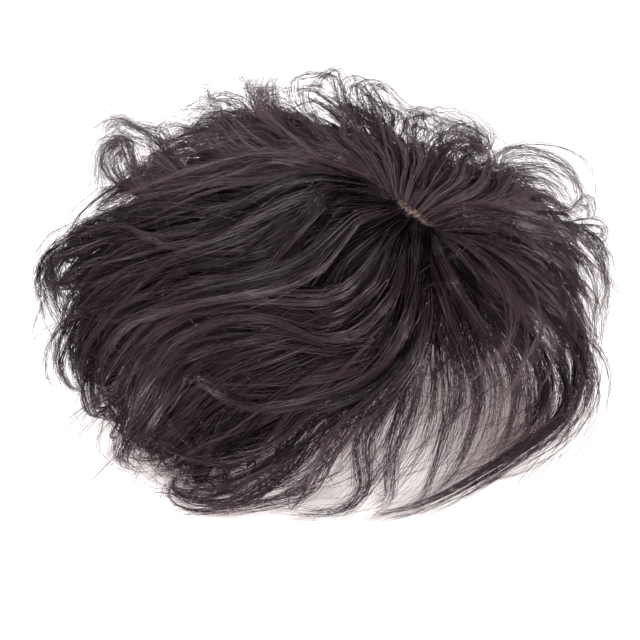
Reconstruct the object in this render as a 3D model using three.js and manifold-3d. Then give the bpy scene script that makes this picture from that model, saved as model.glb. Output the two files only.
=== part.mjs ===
// A wavy clip-in hairpiece lying on a flat surface, in millimetres, +Z up.
// X runs to the right and Y to the back, for someone who looks at the fringe from the front.
// A place on the hair is a ring and a bearing: ring 0 is the parting and ring 1 the outline,
// and the bearing is the angle about the parting's middle, 0 to the right and 90 to the back.
import * as THREE from 'three';
import { mergeVertices } from 'three/addons/utils/BufferGeometryUtils.js';
import Module from 'manifold-3d';

const wasm = await Module();
wasm.setup();

const degree = Math.PI / 180;
const up = new THREE.Vector3(0, 0, 1);

// Driving sizes
const crownHeight = 72;       // top of the hair beside the parting
const partingLength = 40;
const partingWidth = 7;
const partingBearing = -47;   // the way the parting points at its front end
const fitGap = 0.3;           // clear space between touching pieces
const sectionGap = 0.4;       // clear space between two sections of hair

const capRing = 0.4;          // the base covers this share of the outline
const capSteps = [0.25, 0.5, 0.75, 1];   // its rows of facets, as shares of that
const massSteps = [1.4, 2];   // rows past the base, 2 at the edge of the mass of hair
const capWall = 1.2;
const stripThickness = 0.8;

const matTopDepth = 1;        // the mass of hair under the locks lies this far under them
const matCrownDepth = 3.2;    // and its underside this far, at the parting
const matRimDepth = 11;       // over the rim of the base
const matEdgeDepth = 4.5;     // and from there on
const matThinRing = 0.52;
const hollowDepth = 30;       // no lock dips into the space under the base above this depth

const clipLength = 30;
const clipWidth = 10;
const clipThickness = 1.4;    // at the ends, where it is thinnest
const clipGap = 0.7;          // thread between the base and a clip
const clipRing = 0.27;        // how far out the clips are sewn
const clipBearings = { clip_front: 313, clip_right: 43, clip_back: 133, clip_left: 223 };

// The outline: how far the hair reaches from the parting, how high its edge is there, and the
// ring where the closed mass of hair ends and loose locks go on alone.
const outlineColumns = ['bearing', 'reach', 'edge', 'mass'];
const outlineRows = [
  [0, 105, 18, 0.8],
  [30, 114, 26, 0.66],
  [60, 111, 36, 0.6],
  [90, 125, 42, 0.62],
  [120, 163, 42, 0.66],
  [150, 188, 30, 0.74],
  [180, 197, 18, 0.8],
  [210, 185, 8, 0.82],
  [240, 170, 5, 0.7],
  [270, 145, 4, 0.52],
  [300, 124, 4, 0.52],
  [330, 112, 10, 0.74],
];

// The locks. root is the place along the parting, in mm from its middle towards the front, and
// b25 to b100 are the bearings at rings 0.25 to 1. A lock follows them as far as the ring in
// tip, then curls on a circle of radius curl through turn degrees, plus to its left, and runs
// straight on for tail. It rises by rise from its tip to its end. lift raises the whole lock
// over the outer hair or sinks it.
const lockColumns = ['section', 'root', 'b25', 'b50', 'b75', 'b100', 'tip', 'curl', 'turn', 'tail',
  'rise', 'lift', 'width', 'thick'];
const lockRows = [
  ['hair_left', -18, 129, 130, 129, 125, 0.86, 30, -40, 4, 4, 1, 22, 7],
  ['hair_left', -16, 134, 137, 135, 138, 0.87, 17, 120, 0, 2, 2, 26, 8],
  ['hair_left', -15, 138, 148, 153, 147, 0.86, 16, 165, 6, 4, 1, 22, 8],
  ['hair_left', -14, 141, 155, 163, 166, 0.88, 22, 60, 0, -8, 3, 26, 8],
  ['hair_left', -12, 152, 171, 169, 169, 0.87, 24, 130, 4, -14, 2, 26, 9],
  ['hair_left', -11, 163, 178, 177, 180, 0.85, 28, 90, 0, -14, 0, 26, 8],
  ['hair_left', -10, 174, 190, 184, 188, 0.86, 34, 50, 6, -14, 3, 26, 9],
  ['hair_left', -9, 186, 203, 193, 195, 0.88, 40, 30, 2, -12, 2, 24, 9],
  ['hair_sweep', -7, 202, 216, 205, 202, 0.87, 40, 34, 2, -12, 0, 28, 8],
  ['hair_sweep', -6, 210, 223, 211, 209, 0.9, 40, 30, 2, -14, 0, 26, 8],
  ['hair_sweep', -3, 226, 234, 220, 215, 0.94, 30, 30, 2, -12, 0, 26, 7],
  ['hair_sweep', 0, 250, 233, 207, 210, 0.9, 60, 24, 0, -14, 4, 26, 9],
  ['hair_sweep', 2, 257, 256, 234, 222, 0.93, 45, 24, 2, -14, 3, 26, 8],
  ['hair_sweep', 3, 258, 257, 245, 234, 0.95, 34, -50, 12, -14, 1, 28, 8],
  ['hair_sweep', 4, 261, 262, 252, 241, 0.9, 34, -62, 34, -14, 0, 24, 6],
  ['hair_sweep', 5, 263, 266, 260, 250, 0.86, 28, -70, 26, -18, 0, 20, 6],
  ['hair_fringe', 8, 275, 277, 272, 262, 0.92, 26, -70, 18, -14, 0, 17, 5],
  ['hair_fringe', 11, 287, 289, 287, 273, 0.92, 40, -30, 4, -12, 1, 15, 5],
  ['hair_fringe', 13, 302, 303, 302, 287, 0.88, 40, -30, 8, -14, 0, 15, 5],
  ['hair_fringe', 15, 318, 315, 312, 300, 0.88, 24, -70, 30, -14, 1, 15, 5],
  ['hair_fringe', 17, 333, 331, 329, 322, 0.81, 40, -100, 80, -24, 2, 17, 6],
  ['hair_right', 18, 350, 347, 343, 338, 0.8, 28, -66, 24, -14, 1, 22, 7],
  ['hair_right', 16, 361, 358, 354, 349, 0.77, 24, -72, 26, -14, 2, 22, 8],
  ['hair_right', 14, 374, 371, 367, 362, 0.76, 22, -80, 30, -14, 1, 22, 8],
  ['hair_back', 9, 28, 29, 28, 24, 0.82, 20, -70, 6, -10, 0, 22, 6],
  ['hair_back', 8, 34, 40, 47, 46, 0.84, 20, -130, 2, -8, 1, 20, 6],
  ['hair_back', 3, 50, 51, 55, 58, 0.68, 15, 190, 4, 0, 1, 18, 6],
  ['hair_back', -4, 70, 71, 75, 78, 0.78, 12, 170, 4, 2, 0, 18, 6],
  ['hair_back', -10, 91, 92, 94, 97, 0.8, 13, 150, 4, 3, 1, 22, 7],
  ['hair_back', -16, 111, 112, 110, 108, 0.84, 14, 120, 6, 3, 1, 24, 7],
];
const lockStartRing = 0.17;
const lockRootDepth = 2.6;    // how far the middle of a lock lies under the outer hair at its root
const lockDepth = 2;          // and where it has risen, before its own lift
const lockRiseRings = 0.16;
const lockTaper = { root: 0.5, tip: 0.3 };   // share of its width and thickness at its ends
const curlStep = 32;          // degrees between the stations of a curl
const tailStep = 25;          // and mm between those of a tail

// Hair that hangs from the rim of the base to the surface at the ring in foot.
const hangingColumns = ['section', 'bearing', 'foot', 'width', 'thick'];
const hangingRows = [
  ['hair_left', 135, 0.66, 36, 6],
  ['hair_left', 152, 0.7, 38, 6],
  ['hair_left', 170, 0.68, 40, 6],
  ['hair_left', 187, 0.72, 38, 6],
  ['hair_sweep', 212, 0.76, 38, 6],
  ['hair_sweep', 232, 0.74, 36, 6],
  ['hair_sweep', 250, 0.78, 30, 6],
  ['hair_right', 345, 0.86, 24, 6],
  ['hair_right', 362, 0.82, 28, 6],
  ['hair_back', 32, 0.84, 28, 6],
  ['hair_back', 52, 0.86, 30, 6],
  ['hair_back', 74, 0.84, 32, 6],
  ['hair_back', 96, 0.8, 34, 6],
  ['hair_back', 112, 0.7, 30, 6],
];
const hangingRing = 0.47;
const hangingTopDepth = 6;
const hangingTaper = { root: 0.8, tip: 0.7 };

// The lines along which the hair falls apart. Each section begins at its own line and ends at
// the next one, counterclockwise. Roots and bearings are given as for the locks.
const partColumns = ['section', 'root', 'b25', 'b50', 'b75', 'b100'];
const partRows = [
  ['hair_left', -20, 121, 121, 119, 116],
  ['hair_sweep', -8, 197, 212, 200, 200],
  ['hair_fringe', 6, 269, 271, 265, 254],
  ['hair_right', 20, 342, 339, 335, 327],
  ['hair_back', 10, 383, 384, 384, 374],
];
const outsideRing = 1.5;      // well clear of every lock

const looks = {
  hair: { color: 0x1d1516, roughness: 0.45, metalness: 0 },
  base: { color: 0x2a2220, roughness: 0.9, metalness: 0 },
  parting: { color: 0x9b8276, roughness: 0.7, metalness: 0 },
  clip: { color: 0x15130f, roughness: 0.35, metalness: 0.8 },
};

// Rows of a table as objects with the columns' names.
function table(columns, rows) {
  return rows.map((row) => Object.fromEntries(columns.map((name, i) => [name, row[i]])));
}

// Smooth curve through evenly spaced values, held at both ends. step counts the values.
function throughValues(values, step) {
  const last = values.length - 1;
  const low = THREE.MathUtils.clamp(Math.floor(step), 0, last - 1);
  const pick = (i) => values[THREE.MathUtils.clamp(i, 0, last)];
  const [a, b, c, d] = [pick(low - 1), pick(low), pick(low + 1), pick(low + 2)];
  const t = THREE.MathUtils.clamp(step - low, 0, 1);
  return b + 0.5 * t * (c - a + t * (2 * a - 5 * b + 4 * c - d + t * (3 * (b - c) + d - a)));
}

const outline = table(outlineColumns, outlineRows);

// Value of an outline column at any bearing, on a closed curve through the rows.
function around(column, bearing) {
  const count = outline.length;
  const step = THREE.MathUtils.euclideanModulo(bearing, 360) * count / 360;
  const first = Math.floor(step);
  const values = [-1, 0, 1, 2].map((i) => outline[(first + i + count) % count][column]);
  return throughValues(values, 1 + step - first);
}

function domeHeight(ring, bearing) {
  const edge = around('edge', bearing);
  return edge + (crownHeight - edge) * (1 - ring * ring);
}

// Place on the outer hair. A root off the parting's middle fades out towards the outline.
function onDome(ring, bearing, lift = 0, root = 0) {
  const reach = ring * around('reach', bearing);
  const slide = root * Math.max(1 - ring, 0) ** 2;
  const x = reach * Math.cos(bearing * degree) + slide * Math.cos(partingBearing * degree);
  const y = reach * Math.sin(bearing * degree) + slide * Math.sin(partingBearing * degree);
  return new THREE.Vector3(x, y, domeHeight(ring, bearing) + lift);
}

// Depth of the mat's underside below the outer hair. The base follows it.
function matDepth(ring) {
  if (ring > capRing) {
    const share = Math.min((ring - capRing) / (matThinRing - capRing), 1);
    return THREE.MathUtils.lerp(matRimDepth, matEdgeDepth, share);
  }
  return matCrownDepth + (matRimDepth - matCrownDepth) * (ring / capRing) ** 2;
}

// Height at a place in plan, a given depth below the mat's underside.
function heightUnderMat(x, y, depth) {
  const bearing = Math.atan2(y, x) / degree;
  const ring = Math.hypot(x, y) / around('reach', bearing);
  return domeHeight(ring, bearing) - matDepth(ring) - depth;
}

function bearingAt(row, ring) {
  return throughValues([row.b25, row.b50, row.b75, row.b100], 4 * ring - 1);
}

// Geometry of loops of points, each joined to the next, closed by a fan or a point at each end.
function closedLoops(loops, startPoint, endPoint) {
  const sides = loops[0].length;
  const points = loops.flat();
  const faces = [];
  for (let i = 0; i + 1 < loops.length; i += 1) {
    for (let j = 0; j < sides; j += 1) {
      const a = i * sides + j;
      const b = i * sides + (j + 1) % sides;
      faces.push(a, b, b + sides, a, b + sides, a + sides);
    }
  }
  const end = (loops.length - 1) * sides;
  if (startPoint) {
    points.push(startPoint, endPoint);
    for (let j = 0; j < sides; j += 1) {
      const next = (j + 1) % sides;
      faces.push(points.length - 2, next, j, points.length - 1, end + j, end + next);
    }
  } else {
    for (let j = 1; j + 1 < sides; j += 1) {
      faces.push(0, j + 1, j, end, end + j, end + j + 1);
    }
  }
  const geometry = new THREE.BufferGeometry().setFromPoints(points);
  geometry.setIndex(faces);
  return geometry;
}

// Lock swept along a path: a flat six-sided section that swells from the root and thins out.
function sweptLock(path, width, thick, taper) {
  const corners = [0, 60, 120, 180, 240, 300];
  const loops = path.map((point, i) => {
    const before = path[Math.max(i - 1, 0)];
    const after = path[Math.min(i + 1, path.length - 1)];
    const along = after.clone().sub(before).normalize();
    const side = up.clone().cross(along).normalize();
    const outward = along.clone().cross(side);
    const share = i / (path.length - 1);
    const swell = Math.min(1, taper.root + 4 * share * (1 - taper.root));
    const fade = 1 - (1 - taper.tip) * share ** 2.5;
    return corners.map((corner) => {
      const across = 0.5 * width * swell * fade * Math.cos(corner * degree);
      const half = 0.5 * thick * swell * (0.4 + 0.6 * fade);
      const depth = half * Math.sign(Math.round(Math.sin(corner * degree)));
      return point.clone().addScaledVector(side, across).addScaledVector(outward, depth);
    });
  });
  return closedLoops(loops);
}

// A lock's path: over the dome to its tip, round its curl and along its tail, above the surface.
function lockPath(lock) {
  const outwardSteps = 8;
  const place = (ring) => {
    const risen = Math.min((ring - lockStartRing) / lockRiseRings, 1);
    const depth = THREE.MathUtils.lerp(lockRootDepth, lockDepth - lock.lift, risen);
    return onDome(ring, bearingAt(lock, ring), -depth, lock.root);
  };
  const path = [];
  for (let i = 0; i <= outwardSteps; i += 1) {
    path.push(place(THREE.MathUtils.lerp(lockStartRing, lock.tip, i / outwardSteps)));
  }
  const last = path[outwardSteps];
  const justBefore = place(lock.tip - 0.02);
  const along = last.clone().sub(justBefore).setZ(0).normalize();
  const side = up.clone().cross(along).multiplyScalar(Math.sign(lock.turn));
  const curlSteps = Math.max(2, Math.round(Math.abs(lock.turn) / curlStep));
  const tailSteps = Math.ceil(lock.tail / tailStep);
  const riseStep = lock.rise / (curlSteps + tailSteps);
  for (let i = 1; i <= curlSteps; i += 1) {
    const angle = Math.abs(lock.turn) * degree * i / curlSteps;
    const point = last.clone().addScaledVector(along, lock.curl * Math.sin(angle));
    point.addScaledVector(side, lock.curl * (1 - Math.cos(angle)));
    point.z += riseStep * i;
    path.push(point);
  }
  const onward = along.applyAxisAngle(up, lock.turn * degree).multiplyScalar(lock.tail / tailSteps);
  for (let i = 1; i <= tailSteps; i += 1) {
    path.push(path.at(-1).clone().add(onward).addScaledVector(up, riseStep));
  }
  const lowest = 0.3 * lock.thick;
  path.forEach((point) => point.setZ(Math.max(point.z, lowest)));
  return path;
}

// A hanging lock's path: out from the rim of the base and down to the surface.
function hangingPath(lock) {
  const steps = 4;
  const top = domeHeight(hangingRing, lock.bearing) - hangingTopDepth;
  const path = [];
  for (let i = 0; i <= steps; i += 1) {
    const share = i / steps;
    const ring = THREE.MathUtils.lerp(hangingRing, lock.foot, Math.sin(share * Math.PI / 2));
    path.push(onDome(ring, lock.bearing).setZ(top * (1 - share ** 1.5)));
  }
  return path;
}

// Closed slab that follows the dome out over some rings, between two depths under the outer hair.
// A ring past the base is a share of the way from there to the edge of the mass.
function domeSlab(rings, topDepth, bottomDepth) {
  const bearingCount = 24;
  const place = (ring, bearing, depth) => {
    const beyond = Math.max(ring - 1, 0) * (around('mass', bearing) - capRing);
    const level = Math.min(ring, 1) * capRing + beyond;
    return onDome(level, bearing, -depth(level));
  };
  const loop = (ring, depth) => Array.from({ length: bearingCount }, (_, j) =>
    place(ring, j * 360 / bearingCount, depth));
  const loops = rings.map((ring) => loop(ring, bottomDepth));
  loops.push(...rings.toReversed().map((ring) => loop(ring, topDepth)));
  return closedLoops(loops, onDome(0, 0, -bottomDepth(0)), onDome(0, 0, -topDepth(0)));
}

// Bar of a given length and width in plan, rounded at its ends, between two heights.
function curvedBar(centre, bearing, length, width, topAt, bottomAt) {
  const stations = [-0.5, -0.44, -0.25, 0, 0.25, 0.44, 0.5];
  const along = new THREE.Vector3(Math.cos(bearing * degree), Math.sin(bearing * degree), 0);
  const side = up.clone().cross(along);
  const endShare = 0.5;
  const loops = stations.map((station) => {
    const half = 0.5 * width * (Math.abs(station) === 0.5 ? endShare : 1);
    const middle = centre.clone().addScaledVector(along, station * length);
    const left = middle.clone().addScaledVector(side, half);
    const right = middle.clone().addScaledVector(side, -half);
    return [
      left.clone().setZ(topAt(left.x, left.y)), right.clone().setZ(topAt(right.x, right.y)),
      right.clone().setZ(bottomAt(right.x, right.y)), left.clone().setZ(bottomAt(left.x, left.y)),
    ];
  });
  return closedLoops(loops);
}

// Upright prism over one section of the hair, from its own line to the next one. It stands on
// the surface.
function sectionPrism(line, nextLine) {
  const rings = [0, 0.1, 0.2, 0.3, 0.4, 0.5, 0.6, 0.7, 0.8, 0.9, 1, outsideRing];
  const edge = (row, shift) => {
    const points = rings.map((ring) => onDome(ring, bearingAt(row, ring), 0, row.root));
    return points.map((point, i) => {
      const ahead = points[Math.min(i + 1, points.length - 1)].clone();
      const along = ahead.sub(points[Math.max(i - 1, 0)]).setZ(0).normalize();
      return point.clone().addScaledVector(up.clone().cross(along), shift);
    });
  };
  const first = edge(line, sectionGap / 2);
  const second = edge(nextLine, -sectionGap / 2).reverse();
  const arcSteps = 6;
  const sweep = THREE.MathUtils.euclideanModulo(nextLine.b100 - line.b100, 360);
  const arc = [];
  for (let i = 1; i < arcSteps; i += 1) {
    arc.push(onDome(outsideRing, line.b100 + sweep * i / arcSteps));
  }
  const corners = [...first, ...arc, ...second].map((point) => new THREE.Vector2(point.x, point.y));
  const height = 2 * crownHeight;
  return new THREE.ExtrudeGeometry(new THREE.Shape(corners), { depth: height, bevelEnabled: false });
}

// Solid for joining and cutting, from a closed geometry.
function solidFrom(geometry) {
  const bare = geometry.clone();
  bare.deleteAttribute('normal');
  bare.deleteAttribute('uv');
  const merged = mergeVertices(bare);
  return new wasm.Manifold(new wasm.Mesh({
    numProp: 3,
    vertProperties: new Float32Array(merged.attributes.position.array),
    triVerts: new Uint32Array(merged.index.array),
  }));
}

// Geometry of a solid's largest shell: pockets sealed between its locks are filled that way.
function geometryFrom(solid) {
  const mesh = solid.getMesh();
  const faces = Array.from(mesh.triVerts);
  const shellOf = Array.from({ length: mesh.vertProperties.length / 3 }, (_, i) => i);
  const find = (i) => {
    let top = i;
    while (shellOf[top] !== top) {
      top = shellOf[top];
    }
    shellOf[i] = top;
    return top;
  };
  faces.forEach((vertex, i) => {
    shellOf[find(vertex)] = find(faces[i - i % 3]);
  });
  const sizes = new Map();
  faces.forEach((vertex) => sizes.set(find(vertex), 1 + (sizes.get(find(vertex)) ?? 0)));
  const largest = [...sizes].sort((a, b) => b[1] - a[1])[0][0];
  const geometry = new THREE.BufferGeometry();
  geometry.setAttribute('position', new THREE.BufferAttribute(mesh.vertProperties, 3));
  geometry.setIndex(faces.filter((vertex) => find(vertex) === largest));
  return geometry;
}

function namedMesh(name, geometry, look) {
  const mesh = new THREE.Mesh(geometry, new THREE.MeshStandardMaterial(look));
  mesh.name = name;
  return mesh;
}

const hairpiece = new THREE.Group();

// Base: a shallow cap of net under the matted roots.
const capTop = (ring) => matDepth(ring) + fitGap;
const capBottom = (ring) => capTop(ring) + capWall;
hairpiece.add(namedMesh('base_cap', domeSlab(capSteps, capTop, capBottom), looks.base));

// Parting: a strip of skin-coloured silk in a slot of the mat.
const middle = new THREE.Vector3();
const strip = curvedBar(middle, partingBearing, partingLength, partingWidth,
  (x, y) => heightUnderMat(x, y, -stripThickness), (x, y) => heightUnderMat(x, y, 0));
hairpiece.add(namedMesh('parting_strip', strip, looks.parting));

// Clips: plain bars sewn under the base, flat below.
for (const [name, bearing] of Object.entries(clipBearings)) {
  const centre = onDome(clipRing, bearing);
  const topAt = (x, y) => heightUnderMat(x, y, fitGap + capWall + clipGap);
  const along = bearing + 90;
  const reach = new THREE.Vector3(Math.cos(along * degree), Math.sin(along * degree), 0);
  const outward = reach.clone().cross(up);
  const outerCorners = [-0.5, 0.5].map((share) => {
    const end = centre.clone().addScaledVector(reach, share * clipLength);
    return end.addScaledVector(outward, 0.5 * clipWidth);
  });
  const flat = Math.min(...outerCorners.map((corner) => topAt(corner.x, corner.y))) - clipThickness;
  const bar = curvedBar(centre, along, clipLength, clipWidth, topAt, () => flat);
  hairpiece.add(namedMesh(name, bar, looks.clip));
}

// Hair: the mat and a section's own locks, trimmed to the section, clear of the base and the
// parting.
const mat = solidFrom(domeSlab([...capSteps, ...massSteps], () => matTopDepth, matDepth));
const hollow = solidFrom(domeSlab([...capSteps, 1.05], matDepth, () => hollowDepth));
const slotGeometry = new THREE.BoxGeometry(
  partingLength + 2 * fitGap, partingWidth + 2 * fitGap, crownHeight);
const slot = solidFrom(slotGeometry.rotateZ(partingBearing * degree).translate(0, 0, crownHeight));
const lines = table(partColumns, partRows);
const locks = table(lockColumns, lockRows);
const hangingLocks = table(hangingColumns, hangingRows);
lines.forEach((line, i) => {
  let hair = mat;
  for (const lock of locks.filter((row) => row.section === line.section)) {
    hair = hair.add(solidFrom(sweptLock(lockPath(lock), lock.width, lock.thick, lockTaper)));
  }
  for (const lock of hangingLocks.filter((row) => row.section === line.section)) {
    hair = hair.add(solidFrom(sweptLock(hangingPath(lock), lock.width, lock.thick, hangingTaper)));
  }
  const prism = solidFrom(sectionPrism(line, lines[(i + 1) % lines.length]));
  const trimmed = hair.intersect(prism).subtract(hollow).subtract(slot);
  hairpiece.add(namedMesh(line.section, geometryFrom(trimmed), looks.hair));
});

// The origin is under the middle of the whole piece, on the surface.
const bounds = new THREE.Box3().setFromObject(hairpiece);
const centre = bounds.getCenter(new THREE.Vector3());
hairpiece.position.set(-centre.x, -centre.y, -bounds.min.z);

export default hairpiece;
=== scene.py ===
import math
import bpy
import numpy as np
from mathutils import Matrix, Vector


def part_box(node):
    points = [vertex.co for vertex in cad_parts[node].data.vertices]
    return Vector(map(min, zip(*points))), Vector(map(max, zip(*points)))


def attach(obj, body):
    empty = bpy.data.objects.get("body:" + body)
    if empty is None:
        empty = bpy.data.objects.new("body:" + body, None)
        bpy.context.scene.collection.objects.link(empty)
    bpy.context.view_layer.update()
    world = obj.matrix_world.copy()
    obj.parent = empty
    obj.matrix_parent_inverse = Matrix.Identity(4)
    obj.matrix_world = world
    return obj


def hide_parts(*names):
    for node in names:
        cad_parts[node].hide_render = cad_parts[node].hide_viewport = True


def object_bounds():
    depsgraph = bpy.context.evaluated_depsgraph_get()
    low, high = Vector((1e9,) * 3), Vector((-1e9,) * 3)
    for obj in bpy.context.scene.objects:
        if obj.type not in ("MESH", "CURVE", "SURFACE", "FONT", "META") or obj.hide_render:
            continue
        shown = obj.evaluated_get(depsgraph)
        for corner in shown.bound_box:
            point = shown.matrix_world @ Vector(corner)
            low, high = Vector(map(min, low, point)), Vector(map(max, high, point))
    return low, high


# A wavy hairpiece lying on a pale floor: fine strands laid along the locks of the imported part.
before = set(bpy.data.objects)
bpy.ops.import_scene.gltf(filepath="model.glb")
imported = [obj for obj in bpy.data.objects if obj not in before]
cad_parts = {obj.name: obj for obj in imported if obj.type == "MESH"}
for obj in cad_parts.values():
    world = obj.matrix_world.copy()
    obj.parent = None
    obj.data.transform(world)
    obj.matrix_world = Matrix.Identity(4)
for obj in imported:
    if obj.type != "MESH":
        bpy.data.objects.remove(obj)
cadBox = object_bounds()
print("frame:", len(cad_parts), "nodes")

mm = 0.001
tiny = 1e-9  # added to a length before dividing by it
upward = (0.0, 0.0, 1.0)
dice = np.random.default_rng(11)
partingLow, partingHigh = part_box("parting_strip")
partingMiddle = 0.5 * (np.array(partingLow) + np.array(partingHigh)) / mm
partingMiddle[2] = 0.0


# Short ways to make a material, its nodes and the links between them

def newMaterial(name):
    material = bpy.data.materials.new(name)
    material.use_nodes = True
    tree = material.node_tree
    return material, tree.nodes, tree.links, tree.nodes["Principled BSDF"]


def setSockets(node, values):
    for name, value in values.items():
        node.inputs[name].default_value = value


def rangeNode(nodes, ends):
    node = nodes.new("ShaderNodeMapRange")
    setSockets(node, {"To Min": ends[0], "To Max": ends[1]})
    return node


def mathNode(nodes, operation):
    node = nodes.new("ShaderNodeMath")
    node.operation = operation
    return node


def joinSockets(links, pairs):
    for source, target in pairs:
        links.new(source, target)


# Camera, floor and light

cameraSetup = {
    "aim": (-49.3, -28.5, 20.7),  # mm from the parting's middle in plan, and above the floor
    "elevation": 46.0,
    "distance": 1150.0,
    "lens": 122.9,
    "sensor": 36.0,
    "nearest": 0.05,  # m in front of it from which it sees
}


# Set back from the aim by the distance, at the elevation, straight in front of the fringe
def makeCamera(setup):
    aim = (partingMiddle + np.array(setup["aim"])) * mm
    tilt = math.radians(setup["elevation"])
    back = np.array([0.0, -math.cos(tilt), math.sin(tilt)])
    data = bpy.data.cameras.new("photo_camera")
    data.lens = setup["lens"]
    data.sensor_width = setup["sensor"]
    data.clip_start = setup["nearest"]
    camera = bpy.data.objects.new("photo_camera", data)
    camera.location = aim + back * setup["distance"] * mm
    camera.rotation_euler = (math.pi / 2 - tilt, 0.0, 0.0)
    bpy.context.scene.collection.objects.link(camera)
    bpy.context.scene.camera = camera


makeCamera(cameraSetup)

studio = {
    "floorSize": 6.0,
    "floorColour": (0.93, 0.93, 0.935, 1.0),
    "floorRough": 0.9,
    "floorShine": 0.1,
    "paintedGlowColour": (0.93, 0.71, 0.715, 1.0),
    "paintedFloorGlow": 0.25,  # painted light: the floor glows, filling the shade under the hair and tinting it pink
    "skyColour": (1.0, 1.0, 1.0, 1.0),
    "skyStrength": 0.08,
    "lampAim": (0.0, 0.0, 0.03),
    "lamps": [  # name, place in m, size in m, power in W, colour
        ("left_lamp", (-1.1, -0.25, 0.6), 0.3, 20.0, (1.0, 1.0, 1.0)),
        ("right_lamp", (1.1, -0.25, 0.6), 0.3, 23.0, (1.0, 1.0, 1.0)),
        ("front_lamp", (0.0, -0.95, 0.95), 0.6, 4.0, (1.0, 1.0, 1.0)),
        ("low_lamp", (0.1, -1.3, 0.4), 0.6, 8.0, (1.0, 0.83, 0.77)),
        ("back_lamp", (-0.4, 0.9, 0.7), 0.4, 6.0, (1.0, 1.0, 1.0)),
    ],
}


# A square floor that glows as painted light, lamps that face their aim, and a faint even sky
def makeStudio(setup):
    half = setup["floorSize"] / 2
    mesh = bpy.data.meshes.new("floor")
    corners = [(-half, -half, 0.0), (half, -half, 0.0), (half, half, 0.0), (-half, half, 0.0)]
    mesh.from_pydata(corners, [], [(0, 1, 2, 3)])
    floor = bpy.data.objects.new("floor", mesh)
    bpy.context.scene.collection.objects.link(floor)
    paint, _, _, shader = newMaterial("floor_paper")
    # The emission is painted light: the floor glows to fill its shade and tint it pink
    setSockets(shader, {
        "Base Color": setup["floorColour"], "Roughness": setup["floorRough"],
        "Specular IOR Level": setup["floorShine"], "Emission Color": setup["paintedGlowColour"],
        "Emission Strength": setup["paintedFloorGlow"],
    })
    mesh.materials.append(paint)
    for name, place, size, power, colour in setup["lamps"]:
        light = bpy.data.lights.new(name, "AREA")
        light.size = size
        light.energy = power
        light.color = colour
        lamp = bpy.data.objects.new(name, light)
        lamp.location = place
        way = np.array(setup["lampAim"]) - np.array(place)
        flat = math.hypot(way[0], way[1])
        lamp.rotation_euler = (math.atan2(flat, -way[2]), 0.0, math.atan2(-way[0], way[1]))
        bpy.context.scene.collection.objects.link(lamp)
    world = bpy.data.worlds.new("studio_sky")
    world.use_nodes = True
    sky = world.node_tree.nodes["Background"]
    setSockets(sky, {"Color": setup["skyColour"], "Strength": setup["skyStrength"]})
    bpy.context.scene.world = world
    bpy.context.scene.view_settings.view_transform = "Standard"


makeStudio(studio)
print("studio: camera, floor and", len(studio["lamps"]), "lamps")

# The hair's plan, in mm and degrees about the parting's middle. Ring 0 is the parting and ring 1
# the outline, and a bearing of 0 points right and 90 to the back.

hairPlan = {
    "crown": 72.0,  # top of the hair beside the parting
    "partingBearing": -47.0,  # way that the parting points at its front end
    "partingHalf": 0.95,  # bare silk to each side of the parting's line, at its middle
    "partingRun": 23.0,  # and how far it reaches each way before it closes
    "proud": 3.0,  # how far hair may stand out of the part's box before it is drawn in
    "drawnIn": 0.35,
    "rootDepth": 2.4,  # roots lie this far under the outer hair
    "restDepth": 4.2,  # and a lock's middle this far, once it has risen
    "riseRings": 0.16,
    "sunk": 3.0,  # a flow begins this far down and comes up through the other hair
    "floorGap": 0.35,
    "domeSteps": 16,
    "curlStep": 15.0,  # degrees of a curl for each step along a wisp
    "tailStep": 14.0,
    "lengthCost": 10.0,  # mm of a strand to a point of it
    "bendCost": 24.0,  # degrees of its bends to a point
    "endGap": 1e-6,  # a path is read this share short of its end
}
cadLow, cadHigh = (np.array(corner) / mm - partingMiddle for corner in cadBox)

outlineRows = np.array([  # bearing, reach, edge height
    (0, 105, 18), (30, 114, 26), (60, 111, 36), (90, 125, 42), (120, 163, 42), (150, 188, 30),
    (180, 197, 18), (210, 185, 8), (240, 170, 5), (270, 145, 4), (300, 124, 4), (330, 112, 10),
], float)
denseRows = np.array([  # bearing, ring where the dense hair ends
    (0, 0.78), (30, 0.53), (60, 0.46), (85, 0.5), (100, 0.55), (112, 0.62), (122, 0.7), (150, 0.79),
    (180, 0.9), (210, 0.92), (228, 0.93), (237, 0.82), (244, 0.66), (256, 0.58), (270, 0.48), (300, 0.46),
    (318, 0.56), (330, 0.66), (345, 0.74), (360, 0.78),
], float)
massPlan = {
    # tones: the mass sheet's few darkest tones, painted shade of the deep hair under the locks
    "inner": 0.2, "rings": 9, "step": 1.0, "ragged": 0.015, "tones": 6, "sheen": 0.04,
    "depth": (6.5, 9.0),  # mm under the outer hair, at its inner ring and at its rim
    "swell": 0.8, "swellGrown": 0.5,
    "thick": 3.0, "thinning": 1.1,
}

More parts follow.
